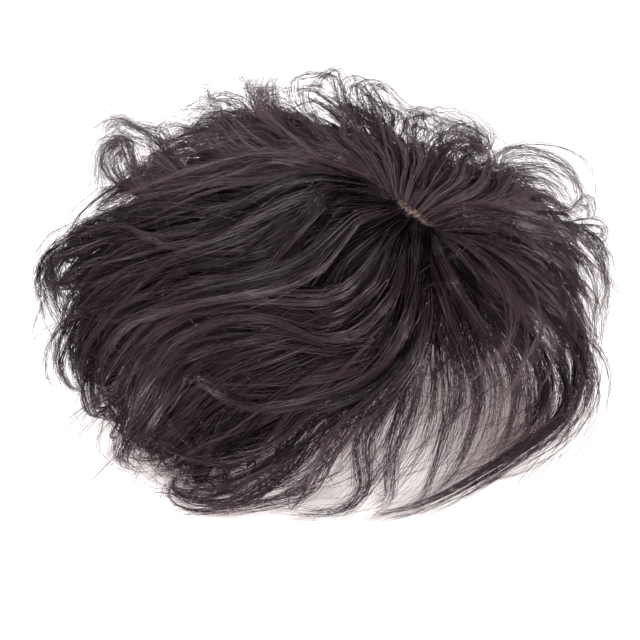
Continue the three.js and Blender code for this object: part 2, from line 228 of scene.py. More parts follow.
lockColumns = ["root", "b25", "b50", "b75", "b100", "tip", "curl", "turn", "tail", "rise", "lift",
               "width", "thick"]
lockRows = {  # one row a lock, counterclockwise: where it leaves the parting, its bearings, its curl
    "hair_left": [
        (-18, 129, 130, 129, 125, 0.86, 30, -40, 4, 4, 1, 22, 7),
        (-16, 134, 137, 135, 138, 0.87, 17, 120, 0, 2, 2, 26, 8),
        (-15, 138, 148, 153, 147, 0.86, 16, 165, 6, 4, 1, 22, 8),
        (-14, 141, 155, 163, 166, 0.88, 22, 60, 0, -8, 3, 26, 8),
        (-12, 152, 171, 169, 169, 0.87, 24, 130, 4, -14, 2, 26, 9),
        (-11, 163, 178, 177, 180, 0.85, 28, 90, 0, -14, 0, 26, 8),
        (-10, 174, 190, 184, 188, 0.86, 34, 50, 6, -14, 3, 26, 9),
        (-9, 186, 203, 193, 195, 0.88, 40, 30, 2, -12, 2, 24, 9),
    ],
    "hair_sweep": [
        (-7, 202, 216, 205, 202, 0.87, 40, 34, 2, -12, 0, 28, 8),
        (-6, 210, 223, 211, 209, 0.9, 40, 30, 2, -14, 0, 26, 8),
        (-3, 226, 234, 220, 215, 0.94, 30, 30, 2, -12, 0, 26, 7),
        (0, 250, 233, 207, 210, 0.9, 60, 24, 0, -14, 4, 26, 9),
        (2, 257, 256, 234, 222, 0.93, 45, 24, 2, -14, 3, 26, 8),
        (3, 258, 257, 245, 234, 0.95, 34, -50, 12, -14, 1, 28, 8),
        (4, 261, 262, 252, 241, 0.9, 34, -62, 34, -14, 0, 24, 6),
        (5, 263, 266, 260, 250, 0.86, 28, -70, 26, -18, 0, 20, 6),
    ],
    "hair_fringe": [
        (8, 275, 277, 272, 262, 0.92, 26, -70, 18, -14, 0, 17, 5),
        (11, 287, 289, 287, 273, 0.92, 40, -30, 4, -12, 1, 15, 5),
        (13, 302, 303, 302, 287, 0.88, 40, -30, 8, -14, 0, 15, 5),
        (15, 318, 315, 312, 300, 0.88, 24, -70, 30, -14, 1, 15, 5),
        (17, 333, 331, 329, 322, 0.81, 40, -100, 80, -24, 2, 17, 6),
    ],
    "hair_right": [
        (18, 350, 347, 343, 338, 0.8, 28, -66, 24, -14, 1, 22, 7),
        (16, 361, 358, 354, 349, 0.77, 24, -72, 26, -14, 2, 22, 8),
        (14, 374, 371, 367, 362, 0.76, 22, -80, 30, -14, 1, 22, 8),
    ],
    "hair_back": [
        (9, 388, 389, 388, 384, 0.82, 20, -70, 6, -10, 0, 22, 6),
        (8, 394, 400, 407, 406, 0.84, 20, -130, 2, -8, 1, 20, 6),
        (3, 410, 411, 415, 418, 0.68, 15, 190, 4, 0, 1, 18, 6),
        (-4, 430, 431, 435, 438, 0.78, 12, 170, 4, 2, 0, 18, 6),
        (-10, 451, 452, 454, 457, 0.8, 13, 150, 4, 3, 1, 22, 7),
        (-16, 471, 472, 470, 468, 0.84, 14, 120, 6, 3, 1, 24, 7),
    ],
}
bearingColumns = ["b25", "b50", "b75", "b100"]

hangingPlan = {
    "ring": 0.47, "topDepth": 6.0, "wisps": 12, "overlap": 1.15, "spread": (1.1, 0.3),
    "spill": 1.1, "drift": 5.0, "footChance": 0.03, "flare": 0.07, "flareFrom": 0.6,
    "wave": 3.0, "waves": 1.7, "waveGrown": 0.6,
    "midway": 0.6,  # ring at which mm across become degrees
    "sheetStep": 0.8, "sheetRows": 12, "sheetThick": 2.0, "sheetIn": 0.1, "sheetDeep": 0.035,
    "sheetPast": 2.0, "sheetRelief": 0.02, "sheetMean": 7, "sheetShift": 0.5, "sheetDown": 2.5,
    "sheetTones": 44, "sheetTaper": 13.0, "sheetEnd": 0.3,
    "sheetFront": 36.0, "sheetFringe": 300.0,  # a longer taper where a sheet begins beside the fringe
    "bare": ("left_waves", "sweep_waves", "sweep_ends"),  # few wisps and no sheet
}
hangingRows = {  # bearing, ring of the foot, width, thickness
    "hair_left": [(135, 0.66, 36, 6), (152, 0.7, 38, 6), (170, 0.68, 40, 6), (187, 0.72, 38, 6)],
    "hair_sweep": [(212, 0.76, 38, 6), (232, 0.74, 36, 6), (250, 0.78, 30, 6)],
    "hair_fringe": [],
    "hair_right": [(345, 0.86, 24, 6), (362, 0.82, 28, 6)],
    "hair_back": [(32, 0.84, 28, 6), (52, 0.86, 30, 6), (74, 0.84, 32, 6), (96, 0.8, 34, 6),
                  (112, 0.7, 30, 6)],
}

rimRows = {  # bearings from and to, ring at the start and at the end, swing in degrees, wisps
    "left_curls": [(122, 160, 0.4, 0.92, 9, 66)],
    "left_waves": [(156, 200, 0.5, 0.97, 12, 84), (163, 187, 0.74, 1.0, 8, 20)],
    "sweep_waves": [(196, 232, 0.52, 0.98, -1, 74), (206, 234, 0.76, 1.0, -3, 34)],
    "sweep_ends": [(226, 256, 0.5, 0.97, -9, 12)],
    "fringe_strands": [(262, 300, 0.22, 0.62, -2, 20)],
    "fringe_side": [(296, 340, 0.25, 0.72, -4, 34)],
    "right_fall": [(332, 392, 0.4, 0.86, -12, 52)],
    "back_curls": [(30, 128, 0.3, 0.76, 6, 40), (96, 130, 0.42, 0.82, 6, 16)],
}

flowRows = {  # one row a lock: width, thickness, wisps, lift, its bearings, its rings in hundredths
    "hair_left": [
        (16, 5, 5, 2, [129, 137, 141, 147, 154, 158, 161, 163, 164, 165, 167], [19, 29, 40, 50, 55, 61,
         69, 77, 83, 88, 92]),
        (14, 5, 5, 0.5, [129, 133, 137, 143, 148, 152, 155, 158, 161], [21, 34, 46, 55, 62, 68, 75, 80,
         84]),
        (14, 5, 5, 2.5, [139, 148, 155, 162, 170, 177, 180, 179, 176, 171, 169, 169], [17, 25, 31, 36,
         43, 50, 57, 65, 70, 78, 85, 89]),
        (12, 4, 4, 0.5, [141, 153, 165, 176, 182, 184, 183, 181, 176, 173], [16, 24, 28, 34, 42, 50, 58,
         66, 74, 81]),
        (15, 5, 5, 3, [150, 157, 171, 185, 193, 198, 196, 192, 189, 189, 191, 194, 196, 198], [14, 21,
         25, 28, 33, 40, 47, 54, 61, 67, 74, 82, 87, 92]),
        (12, 4, 4, 0.5, [151, 161, 177, 192, 201, 203, 201, 198, 195, 194], [13, 18, 22, 27, 34, 41, 49,
         55, 62, 69]),
        (15, 5, 6, 3, [172, 181, 197, 209, 212, 211, 207, 203, 201, 198, 196, 197, 199, 202, 205, 208,
         207], [9, 15, 21, 29, 37, 45, 53, 59, 65, 72, 80, 87, 92, 96, 99, 99, 96]),
        (12, 6, 7, 1, [168, 169, 170, 172, 173, 175, 178, 181, 185, 188, 191], [69, 77, 83, 89, 94, 98,
         100, 99, 98, 97, 95]),
        (12, 6, 6, 0, [172, 172, 173, 175, 176, 179, 182, 184, 186], [72, 81, 87, 94, 98, 99, 96, 92,
         88]),
        (14, 6, 8, 2, [185, 185, 186, 187, 188, 191, 193, 197, 200, 202], [60, 68, 76, 83, 89, 93, 96,
         98, 97, 97]),
        (12, 5, 6, 0, [184, 186, 188, 191, 194, 197, 201, 201], [71, 79, 85, 91, 95, 98, 98, 95]),
        (6, 4, 4, 1, [179, 179, 180, 182, 180, 177, 175, 174], [77, 82, 88, 93, 98, 100, 99, 96]),
        (7, 4, 4, 1, [174, 171, 169, 170, 173, 175, 177], [77, 83, 89, 92, 93, 90, 86]),
        (8, 4, 4, 1, [193, 193, 196, 199, 202, 205, 207, 207], [76, 83, 89, 93, 97, 99, 99, 96]),
        (7, 4, 8, 1, [167, 162, 157, 152, 148, 147, 149, 152, 157, 161, 165], [71, 78, 85, 93, 100, 106,
         107, 104, 99, 94, 90]),
        (10, 4, 8, 0, [165, 162, 159, 155, 152, 149, 149, 152], [72, 80, 88, 95, 100, 102, 98, 93]),
        (14, 5, 10, 2, [161, 156, 151, 146, 144, 143, 145, 147], [62, 71, 82, 93, 103, 111, 113, 110]),
        (10, 5, 5, 1, [161, 157, 153, 151, 154, 158, 160], [55, 65, 77, 84, 84, 80, 74]),
        (11, 6, 7, 2, [142, 143, 142, 138, 136, 139, 144, 148], [40, 52, 62, 74, 84, 86, 83, 79]),
        (10, 6, 6, 4, [141, 140, 137, 133, 133, 136, 140], [46, 57, 68, 78, 86, 89, 87]),
        (10, 5, 5, 2, [144, 145, 149, 148, 146, 148, 152], [37, 46, 54, 65, 73, 74, 69]),
        (12, 6, 6, 4, [138, 134, 132, 130, 126, 123, 122], [33, 48, 61, 74, 87, 94, 90]),
        (1.5, 1, 1, 4, [131, 129, 131, 134, 138, 140], [71, 86, 95, 97, 94, 90]),
        (5, 3, 2, [3.8, 10.6, 16.5, 22.4, 26.8], [138, 137, 135, 134, 134], [74, 83, 90, 95, 99]),
        (5, 3, 2, [5.1, 10.7, 16.2, 21.4, 25.5], [131, 130, 128, 125, 123], [58, 69, 77, 83, 87]),
        (4, 3, 3, [4.1, 7.4, 12, 16.1, 20.9, 25.9, 31.3], [135, 135, 134, 132, 131, 130, 129], [48, 57,
         66, 73, 79, 85, 92]),
    ],
    "hair_sweep": [
        (18, 6, 7, 3.5, [247, 252, 252, 247, 242, 235, 227, 220, 214, 210, 207, 205, 206, 208, 210, 212,
         213], [12, 21, 32, 40, 46, 49, 49, 51, 55, 60, 67, 75, 81, 87, 93, 98, 102]),
        (14, 5, 5, 1, [228, 237, 238, 235, 228, 219, 211, 206, 203, 202, 201, 203, 205, 208, 211], [9,
         19, 29, 37, 42, 46, 50, 55, 62, 69, 77, 85, 92, 97, 100]),
        (16, 6, 6, 1.5, [257, 259, 257, 252, 245, 236, 227, 218, 212, 208, 207, 208, 210, 212, 215, 216,
         216], [15, 26, 38, 47, 52, 54, 55, 58, 64, 70, 77, 84, 90, 96, 102, 103, 101]),
        (17, 6, 6, 3, [268, 266, 265, 263, 259, 254, 248, 241, 234, 229, 224, 220, 216, 215, 215], [7,
         22, 35, 47, 54, 60, 64, 68, 73, 76, 77, 77, 78, 81, 85]),
        (12, 4, 4, 0.5, [264, 262, 260, 258, 253, 245, 238, 230, 224, 217, 212], [5, 21, 35, 47, 54, 58,
         62, 66, 70, 72, 75]),
        (18, 6, 7, 2, [273, 269, 267, 264, 259, 252, 245, 241, 240, 238, 234, 229, 224, 219, 216], [8,
         25, 41, 53, 61, 66, 69, 73, 78, 84, 89, 91, 93, 93, 93]),
        (16, 6, 6, 1, [275, 271, 268, 264, 258, 250, 245, 243, 240, 236, 232, 227, 224, 220], [9, 27,
         43, 56, 64, 71, 76, 83, 88, 93, 97, 100, 101, 100]),
        (12, 5, 4, [1, 1, 1, 1, 1, 1, 1, 1, 1, 1, 1, 1, 6.1], [278, 272, 269, 264, 257, 252, 250, 250,
         248, 243, 237, 232, 229], [9, 29, 47, 59, 68, 74, 81, 89, 94, 97, 100, 102, 107]),
        (14, 7, 5, 1, [244, 243, 240, 237, 233, 230, 227, 227, 228], [80, 86, 92, 97, 100, 101, 100, 97,
         96]),
        (10, 4, 4, 1, [279, 274, 272, 267, 262, 258, 257, 258, 259, 257, 253, 248, 243], [10, 31, 49,
         61, 69, 75, 80, 86, 91, 96, 98, 98, 98]),
        (12, 5, 4, 2.5, [213, 210, 209, 209, 211, 213, 215, 217], [55, 62, 70, 78, 86, 92, 97, 100]),
        (14, 5, 5, 1, [215, 213, 213, 215, 216, 217, 219, 220], [64, 72, 79, 86, 93, 97, 100, 98]),
    ],
    "hair_fringe": [
        (5, 3, 2, 1, [286, 278, 279, 283, 283, 281, 277, 275, 273, 271, 268], [12, 32, 50, 63, 70, 75,
         79, 84, 90, 96, 98]),
        (5, 3, 2, 1, [289, 283, 286, 288, 288, 284, 280, 276, 271], [12, 35, 54, 68, 76, 83, 89, 94,
         97]),
        (6, 3, 2, 1, [296, 292, 297, 300, 300, 297, 293, 288, 283], [13, 37, 57, 70, 79, 85, 89, 92,
         94]),
        (7, 3, 3, 1, [303, 303, 310, 312, 311, 307, 300, 294, 287, 281], [14, 40, 61, 74, 82, 87, 91,
         93, 94, 95]),
        (7, 3, 3, 1, [309, 314, 319, 321, 318, 312, 305, 297, 289], [15, 42, 66, 80, 90, 94, 96, 95,
         95]),
        (7, 4, 6, 1.5, [313, 322, 327, 332, 332, 325, 316, 308, 299, 290, 284, 278, 274, 269, 265, 261],
         [15, 36, 56, 73, 82, 91, 96, 97, 96, 95, 96, 97, 98, 99, 99, 99]),
        (5, 3, 2, 0.5, [285, 274, 272, 269, 266, 264, 264, 264, 261], [12, 33, 50, 62, 72, 80, 88, 95,
         97]),
    ],
    "hair_right": [
        (14, 5, 5, 1, [29, 19, 16, 10, 12, 10, 4, 355, 341, 333, 326], [7, 19, 29, 48, 68, 82, 90, 93,
         92, 94, 96]),
        (14, 5, 5, 1, [330, 346, 348, 349, 347, 342, 334, 326], [11, 27, 46, 65, 80, 86, 90, 93]),
        (10, 4, 5, 1, [318, 330, 333, 335, 333, 329, 324, 317, 307, 298, 290], [13, 31, 50, 68, 81, 87,
         93, 96, 97, 95, 95]),
        (7, 3, 3, 1.5, [14, 16, 15, 10, 360, 348, 341], [64, 79, 91, 98, 100, 97, 95]),
    ],
    "hair_back": [
        (10, 4, 5, [1.6, 1.5, 3.7, 6.2, 8.7, 6.5, 1.4, -3.8], [113, 112, 109, 107, 107, 110, 113, 114],
         [35, 51, 69, 84, 93, 92, 86, 79]),
        (9, 4, 5, [0.7, 1.5, 3.4, 5.3, 6.8, 4.4, -0.9, -6], [105, 102, 101, 101, 102, 105, 107, 106],
         [31, 51, 68, 82, 89, 88, 81, 75]),
        (10, 4, 5, [1.6, 4, 7.3, 8.2, 6, 1.4, -3, -7, -12.4], [104, 103, 102, 98, 96, 95, 92, 89, 89],
         [44, 64, 82, 91, 90, 85, 80, 75, 67]),
        (8, 4, 4, [0.7, 1, 2.9, 3.6, 4.1, 1.6, -3.8, -9.6], [91, 91, 90, 88, 85, 83, 82, 83], [30, 49,
         66, 76, 81, 79, 72, 63]),
        (11, 5, 6, [0.1, 0, 1.2, 1.3, -1.3, 0.7, 1.2, -0.1, -3.4, -7.9, -11.3], [76, 72, 69, 65, 62, 67,
         73, 79, 82, 84, 82], [19, 43, 63, 75, 77, 85, 89, 91, 85, 77, 69]),
        (11, 5, 6, [0.1, 0.3, 1.2, 1.9, 1.4, -3, -9.9], [82, 79, 75, 71, 67, 62, 61], [19, 41, 59, 73,
         79, 77, 71]),
        (11, 5, 6, [0, -2, -2.8, -1.3, 4.2, 8.8, 9.8, 7, 1.2, -4.3, -9.3], [48, 47, 48, 54, 53, 48, 42,
         36, 30, 27, 26], [23, 45, 62, 78, 92, 101, 104, 101, 95, 90, 83]),
        (10, 5, 5, [-0.3, -3.9, -4, -1.6, 0.2, -0.1, -1.7, -5], [43, 44, 43, 43, 41, 37, 32, 28], [20,
         44, 62, 77, 85, 88, 89, 89]),
        (9, 4, 4, [-0.8, -3.8, -3.9, -5.1, -6.6, -7.2, -6.6], [47, 42, 40, 36, 31, 27, 22], [18, 38, 58,
         65, 72, 78, 83]),
        (7, 3, 3, [-7.7, -3.7, 2.5, 1.2, -3.8, -9.6], [28, 26, 29, 26, 23, 22], [69, 83, 96, 98, 94,
         87]),
        (7, 3, 3, [-7.1, -1.5, 2.8, 2.1, -3.6, -8.4], [20, 21, 20, 17, 15, 17], [74, 89, 100, 100, 94,
         89]),
        (11, 5, 5, [1.1, 1.2, 2.4, 3.4, 5.7, 6.4, 2.9, -3.2], [127, 123, 121, 119, 116, 111, 109, 110],
         [31, 48, 64, 76, 86, 92, 89, 81]),
        (11, 5, 5, [1.4, 1.5, 2.8, 4.6, 8, 10.5], [135, 131, 128, 125, 122, 119], [31, 48, 63, 77, 89,
         96]),
    ],
}

allLocks = np.array([row for rows in lockRows.values() for row in rows], float)
firstLock = dict(zip(lockRows, np.cumsum([0] + [len(rows) for rows in lockRows.values()])))


# A chance value for each of so many, from the first of the pair up to the sum of both
def chanceFrom(pair, size):
    return pair[0] + pair[1] * dice.random(size)


# Catmull-Rom: b + t/2 (c - a + t (2a - 5b + 4c - d + t (3 (b - c) + d - a)))
def blendFour(a, b, c, d, t):
    return b + 0.5 * t * (c - a + t * (2 * a - 5 * b + 4 * c - d + t * (3 * (b - c) + d - a)))


# That curve through each row of evenly spaced values, held at both ends, read at step
def curveThrough(values, step):
    last = values.shape[-1] - 1
    low = np.clip(np.floor(step), 0, last - 1).astype(int)
    near = [np.take_along_axis(values, np.clip(low + k, 0, last), -1) for k in (-1, 0, 1, 2)]
    return blendFour(*near, np.clip(step - low, 0.0, 1.0))


# The same curve closed round the outline, read at any bearing
def outlineAt(column, bearing):
    values = outlineRows[:, column]
    step = np.mod(bearing, 360.0) * len(values) / 360.0
    first = np.floor(step).astype(int)
    near = [values[(first + k) % len(values)] for k in (-1, 0, 1, 2)]
    return blendFour(*near, step - first)


# t squared times 3 - 2t, t being how far the value has come from low to high
def smoothStep(low, high, value):
    t = np.clip((value - low) / (high - low), 0.0, 1.0)
    return t * t * (3 - 2 * t)


# Vectors over their own lengths
def unit(vectors):
    return vectors / (np.linalg.norm(vectors, axis=-1, keepdims=True) + tiny)


# Two ways across each path: side is lean x the path's way, and outward is that way x side
def acrossPaths(paths, lean):
    along = unit(np.gradient(paths, axis=-2))
    side = unit(np.cross(np.array(lean), along))
    return side, np.cross(along, side)


# Paths read again at so many points, spread evenly over length / lengthCost + bend / bendCost
def respaced(paths, points):
    count = len(paths)
    legs = np.diff(paths, axis=1)
    length = np.linalg.norm(legs, axis=-1)
    way = unit(legs)
    bend = np.degrees(np.arccos(np.clip((way[:, 1:] * way[:, :-1]).sum(-1), -1, 1)))
    cost = length / hairPlan["lengthCost"]
    cost[:, 1:] += 0.5 * bend / hairPlan["bendCost"]
    cost[:, :-1] += 0.5 * bend / hairPlan["bendCost"]
    run = np.concatenate([np.zeros((count, 1)), np.cumsum(cost, 1)], 1)
    first = np.arange(count)[:, None]
    run = (run / run[:, -1:] + first).ravel()
    wanted = (np.linspace(0, 1 - hairPlan["endGap"], points) + first).ravel()
    read = [np.interp(wanted, run, paths[..., k].ravel()).reshape(count, points) for k in range(3)]
    return np.stack(read, -1)


# Place on the hair: ring times reach along the bearing, plus the root along the parting faded by
# (1 - ring) squared, at the height edge + (crown - edge)(1 - ring squared) + lift
def hairPlace(ring, bearing, lift, root):
    angle = np.radians(bearing)
    line = math.radians(hairPlan["partingBearing"])
    reach = ring * outlineAt(1, bearing)
    slide = root * np.maximum(1 - ring, 0) ** 2
    edge = outlineAt(2, bearing)
    height = edge + (hairPlan["crown"] - edge) * (1 - ring ** 2) + lift
    x = reach * np.cos(angle) + slide * math.cos(line)
    y = reach * np.sin(angle) + slide * math.sin(line)
    return np.stack(np.broadcast_arrays(x, y, height), -1)


wispPlan = {  # a pair below is the least and how much more by chance, unless its note says otherwise
    "layerRings": (0.05, 0.45),  # from which ring to which a lock's wisps part in depth
    "waveRings": (0.12, 0.5),  # and their wave grows
    "leastReach": 15.0,  # mm out, up to which a wave turns a wisp no more than there
    "tipStep": 0.02,  # rings back from the tip, which give the way on from it
    "pull": (1.0, 1.0, 0.95, 0.75, 0.6, 0.35, 0.35, 0.35, 0.35, 0.0, 0.0, 0.0, 0.0),  # lock column each
    "ownStray": 0.4,  # of a wisp's stray, what is its own at each bearing
    "tipLimits": (-2, 1),  # lowest and highest chance
    "hookSize": (0.7, 0.6),
    "hookTurn": (130, 110),
    "curlChance": 0.22,
    "tailChance": 0.2,
    "waveSize": (0.6, 0.7),
    "waveSpan": (0.9, 0.2),
    "phaseChance": 0.06,
    "clearChance": 0.5,
    "clearLimits": (0.2, 1.8),  # narrowest and widest
    "leastSlant": 0.3,
    "latestStart": 0.07,
    "drawIns": 4,  # times that a wisp is drawn in towards the part's box
}


# Paths of a lock's wisps: out over the hair from the parting to the tip, round an arc of radius
# curl through turn, and straight on for tail, sinking or rising evenly past the tip
def wispPaths(wisp, turnSteps, tailSteps):
    bearings = np.concatenate([wisp[name] for name in bearingColumns], -1)

    def place(ring):
        risen = np.clip((ring - wisp["start"]) / hairPlan["riseRings"], 0, 1)
        layer = wisp["layer"] * smoothStep(*wispPlan["layerRings"], ring)
        depth = hairPlan["restDepth"] - wisp["lift"] + layer
        depth = hairPlan["rootDepth"] + (depth - hairPlan["rootDepth"]) * risen
        bearing = curveThrough(bearings, 4 * ring - 1)
        reach = outlineAt(1, bearing)
        wave = 2 * np.pi * (ring * reach / wisp["waveLength"] + wisp["phase"])
        grown = smoothStep(*wispPlan["waveRings"], ring)
        sway = wisp["waveWidth"] * grown * np.sin(wave)
        swell = wisp["waveHeight"] * grown * np.cos(wave)
        bearing = bearing + np.degrees(sway / np.maximum(ring * reach, wispPlan["leastReach"]))
        return hairPlace(ring, bearing, swell - depth, wisp["root"])

    share = np.linspace(0, 1, hairPlan["domeSteps"] + 1)
    outward = place(wisp["start"] + (wisp["tip"] - wisp["start"]) * share)
    last = outward[:, -1:]
    along = last - place(wisp["tip"] - wispPlan["tipStep"])
    along[..., 2] = 0
    along /= np.linalg.norm(along, axis=-1, keepdims=True)
    side = np.stack([-along[..., 1], along[..., 0], along[..., 2]], -1)
    turn = np.radians(wisp["turn"])
    angle = (turn * np.arange(1, turnSteps + 1) / turnSteps)[..., None]
    curl = wisp["curl"][..., None]
    curled = last + curl * np.sin(np.abs(angle)) * along
    curled = curled + curl * (1 - np.cos(angle)) * np.sign(angle) * side
    onward = np.cos(turn)[..., None] * along + np.sin(turn)[..., None] * side
    reach = (wisp["tail"] * np.arange(1, tailSteps + 1) / max(tailSteps, 1))[..., None]
    path = np.concatenate([outward, curled, curled[:, -1:] + reach * onward], 1)
    past = np.arange(1, turnSteps + tailSteps + 1) / (turnSteps + tailSteps)
    path[:, hairPlan["domeSteps"] + 1:, 2] += wisp["rise"] * past
    return path


# A lock's wisps: the lock's row with its bearings drawn towards the neighbouring lock by the
# wisp's place across it, fully at the parting and less at the tips, and a little of chance
def makeWisps(index, settings):
    count = settings["wisps"]
    each = (count, 1)
    own = allLocks[index]
    before, after = allLocks[index - 1].copy(), allLocks[(index + 1) % len(allLocks)].copy()
    turnColumns = [lockColumns.index(name) for name in bearingColumns]
    before[turnColumns] -= 360.0 * (before[turnColumns] > own[turnColumns] + 180)
    after[turnColumns] += 360.0 * (after[turnColumns] < own[turnColumns] - 180)
    place = (np.arange(count) + dice.random(count)) / count - 0.5
    neighbour = np.where(place[:, None] < 0, before, after)
    table = own + np.abs(place)[:, None] * np.array(wispPlan["pull"]) * (neighbour - own)
    chance = dice.normal(size=(count, 12))
    wisp = {name: table[:, [i]] for i, name in enumerate(lockColumns)}
    for i, (name, size) in enumerate(zip(bearingColumns, settings["stray"])):
        wisp[name] = wisp[name] + chance[:, [0]] * size + wispPlan["ownStray"] * size * chance[:, [1 + i]]
    tipChance = settings["tipChance"] * np.clip(chance[:, [5]], *wispPlan["tipLimits"])
    wisp["tip"] = wisp["tip"] + settings["tipShift"] + tipChance
    hooked = dice.random(each) < settings["hooks"]
    hook = settings["hookRadius"] * chanceFrom(wispPlan["hookSize"], each)
    wisp["curl"] = np.where(hooked, hook, wisp["curl"] * np.exp(wispPlan["curlChance"] * chance[:, [6]]))
    hookTurn = np.sign(wisp["turn"]) * chanceFrom(wispPlan["hookTurn"], each)
    wisp["turn"] = np.where(hooked, hookTurn, wisp["turn"] + settings["turnChance"] * chance[:, [7]])
    wisp["tail"] = wisp["tail"] * np.exp(wispPlan["tailChance"] * chance[:, [8]])
    wisp["rise"] = wisp["rise"] + settings["riseChance"] * chance[:, [9]]
    wisp["layer"] = wisp["thick"] * (dice.permutation(count)[:, None] / count - 0.5)
    big = chanceFrom(wispPlan["waveSize"], each)
    wisp["waveLength"] = settings["waveLength"] * chanceFrom(wispPlan["waveSpan"], each)
    wisp["waveHeight"] = settings["waveHeight"] * big
    wisp["waveWidth"] = settings["waveWidth"] * big
    phase = settings["phase"] + settings["phaseStep"] * index
    wisp["phase"] = phase + wispPlan["phaseChance"] * chance[:, [10]]
    slant = np.abs(np.sin(np.radians(wisp["b25"] - hairPlan["partingBearing"])))
    clear = hairPlan["partingHalf"] * (1 - (wisp["root"] / hairPlan["partingRun"]) ** 2)
    clear = clear * np.clip(1 + wispPlan["clearChance"] * chance[:, [11]], *wispPlan["clearLimits"])
    start = clear / (outlineAt(1, wisp["b25"]) * np.maximum(slant, wispPlan["leastSlant"]))
    wisp["start"] = np.minimum(start, wispPlan["latestStart"])
    return wisp


# Paths of those wisps, each drawn in by as much as it would stand out of the part's box
def keptPaths(wisp):
    for _ in range(wispPlan["drawIns"]):
        turnSteps = max(3, math.ceil(np.abs(wisp["turn"]).max() / hairPlan["curlStep"]))
        tailSteps = math.ceil(wisp["tail"].max() / hairPlan["tailStep"])
        paths = wispPaths(wisp, turnSteps, tailSteps)
        out = np.maximum(cadLow - paths, paths - cadHigh)[..., :2].max((1, 2))[:, None] - hairPlan["proud"]
        wisp["tip"] = wisp["tip"] - np.maximum(out, 0) / outlineAt(1, wisp["b100"])
    return paths


flowPlan = {
    "steps": 8,  # of the curve between two places
    "opening": (0.5, 0.3),  # share of the width at the root, and of the length where it is full
    "closing": (0.4, 0.6),  # share of the width lost at the tip, and of the length where that begins
    "place": (0.25, 0.5),  # of a wisp's own share of the width, the least and how much more by chance
    "sway": 0.17, "sways": 1.6,
    "swell": 0.3, "swells": 1.8, "swellChance": 0.1,
    "risen": 0.25,  # share of the length by which it is up
    "strandDepth": 0.25,  # share of the thickness over which a wisp's strands spread
}


# Wisps of a flow: a Catmull-Rom curve through its places, moved across by each wisp's share of the
# width and out by its share of the thickness, narrow at the root and the tip, with a slow sway across
# and swell up and down
def flowWisps(row, settings):
    points = settings["points"]
    width, thick, count, lift, bearings, hundredths = row
    corners = hairPlace(np.array(hundredths) / 100, np.array(bearings, float), np.array(lift, float), 0.0)
    step = np.linspace(0, len(corners) - 1, flowPlan["steps"] * (len(corners) - 1) + 1)
    middle = curveThrough(corners.T, np.tile(step, (3, 1))).T
    middle = respaced(middle[None], points)
    share = np.linspace(0, 1, points)
    side, outward = acrossPaths(middle, upward)
    root, full = flowPlan["opening"]
    lost, late = flowPlan["closing"]
    opening = root + (1 - root) * smoothStep(0.0, full, share)
    opening = opening * (1 - lost * smoothStep(late, 1.0, share))
    least, more = flowPlan["place"]
    place = ((np.arange(count) + least + more * dice.random(count)) / count - 0.5)[:, None]
    sway = flowPlan["sway"] * np.sin(2 * np.pi * (flowPlan["sways"] * share + dice.random((count, 1))))
    leave = settings["leave"] * dice.normal(size=(2, count, 1)) * share ** 2
    across = width * (opening * (place + sway) + leave[0])
    phase = flowPlan["swells"] * share + dice.random()
    phase = phase + flowPlan["swellChance"] * dice.normal(size=(count, 1))
    swell = flowPlan["swell"] * np.sin(2 * np.pi * phase)
    depth = thick * (opening * (dice.random((count, 1)) - 0.5 + swell) + leave[1])
    depth = depth - hairPlan["sunk"] * (1 - smoothStep(0.0, flowPlan["risen"], share))
    return middle + across[..., None] * side + depth[..., None] * outward


strandPlan = {
    "offset": 0.6,  # of the spread, by which a strand usually stands off its wisp
    "opened": 0.35,  # share of the length by which a wisp has opened
    "frizzRoot": 0.25,
    "frizzGrown": (0.02, 0.2),  # shares of the length where frizz begins and is full
    "frizzWaves": (1.3, 3.1, 5.2),
    "lean": (0.31, 0.17, 0.93),  # a tube's first corner is square to this way
    "corners": (0.0, 120.0, 240.0),
    "sizes": (0.8, 0.4),  # of the radius, the least and how much more by chance
    "toneChance": 0.14,
    "toneEdges": (0.2, 0.8),  # of a tone's column in the UV map, the part in use
    "capDepth": 0.02,
}


# Strands of each wisp: its path cut to the strand's own length, moved sideways and outwards by an
# offset that opens from the root and closes towards the tip, with slow waves of its own
def strandPaths(wisps, settings, spread):
    wispCount, points = wisps.shape[:2]
    each = (wispCount, settings["strands"], 1)
    share = np.linspace(0, 1, points)
    begins = settings["latest"] * dice.random(each)
    ends = 1 - settings["shortest"] * dice.random(each) ** settings["feather"]
    step = (begins + (ends - begins) * share) * (points - 1)
    low = np.minimum(np.floor(step).astype(int), points - 2)
    part = (step - low)[..., None]
    pick = np.arange(wispCount)[:, None, None]
    path = wisps[pick, low] * (1 - part) + wisps[pick, low + 1] * part
    side, outward = acrossPaths(path, upward)
    radius = strandPlan["offset"] * np.abs(dice.normal(size=each))
    angle = 2 * np.pi * dice.random(each)
    opened = smoothStep(0.0, strandPlan["opened"], share)
    opening = settings["rootSpread"] + (1 - settings["rootSpread"]) * opened
    opening = opening * (1 - (1 - settings["tipSpread"]) * share ** 2)
    across = spread[0] * radius * np.cos(angle) * opening
    depth = spread[1] * radius * np.sin(angle) * opening
    grown = smoothStep(*strandPlan["frizzGrown"], share)
    frizz = settings["frizz"] * (strandPlan["frizzRoot"] + share) * grown
    wild = 1 + settings["wild"] * (dice.random(each) < settings["wildShare"])
    for offset in (across, depth):
        for waves in strandPlan["frizzWaves"]:
            phase = dice.random(each)
            size = dice.normal(size=each) * frizz * wild / waves
            offset += size * np.sin(2 * np.pi * (waves * share + phase))
    path = path + across[..., None] * side + depth[..., None] * outward
    return path.reshape(-1, points, 3)


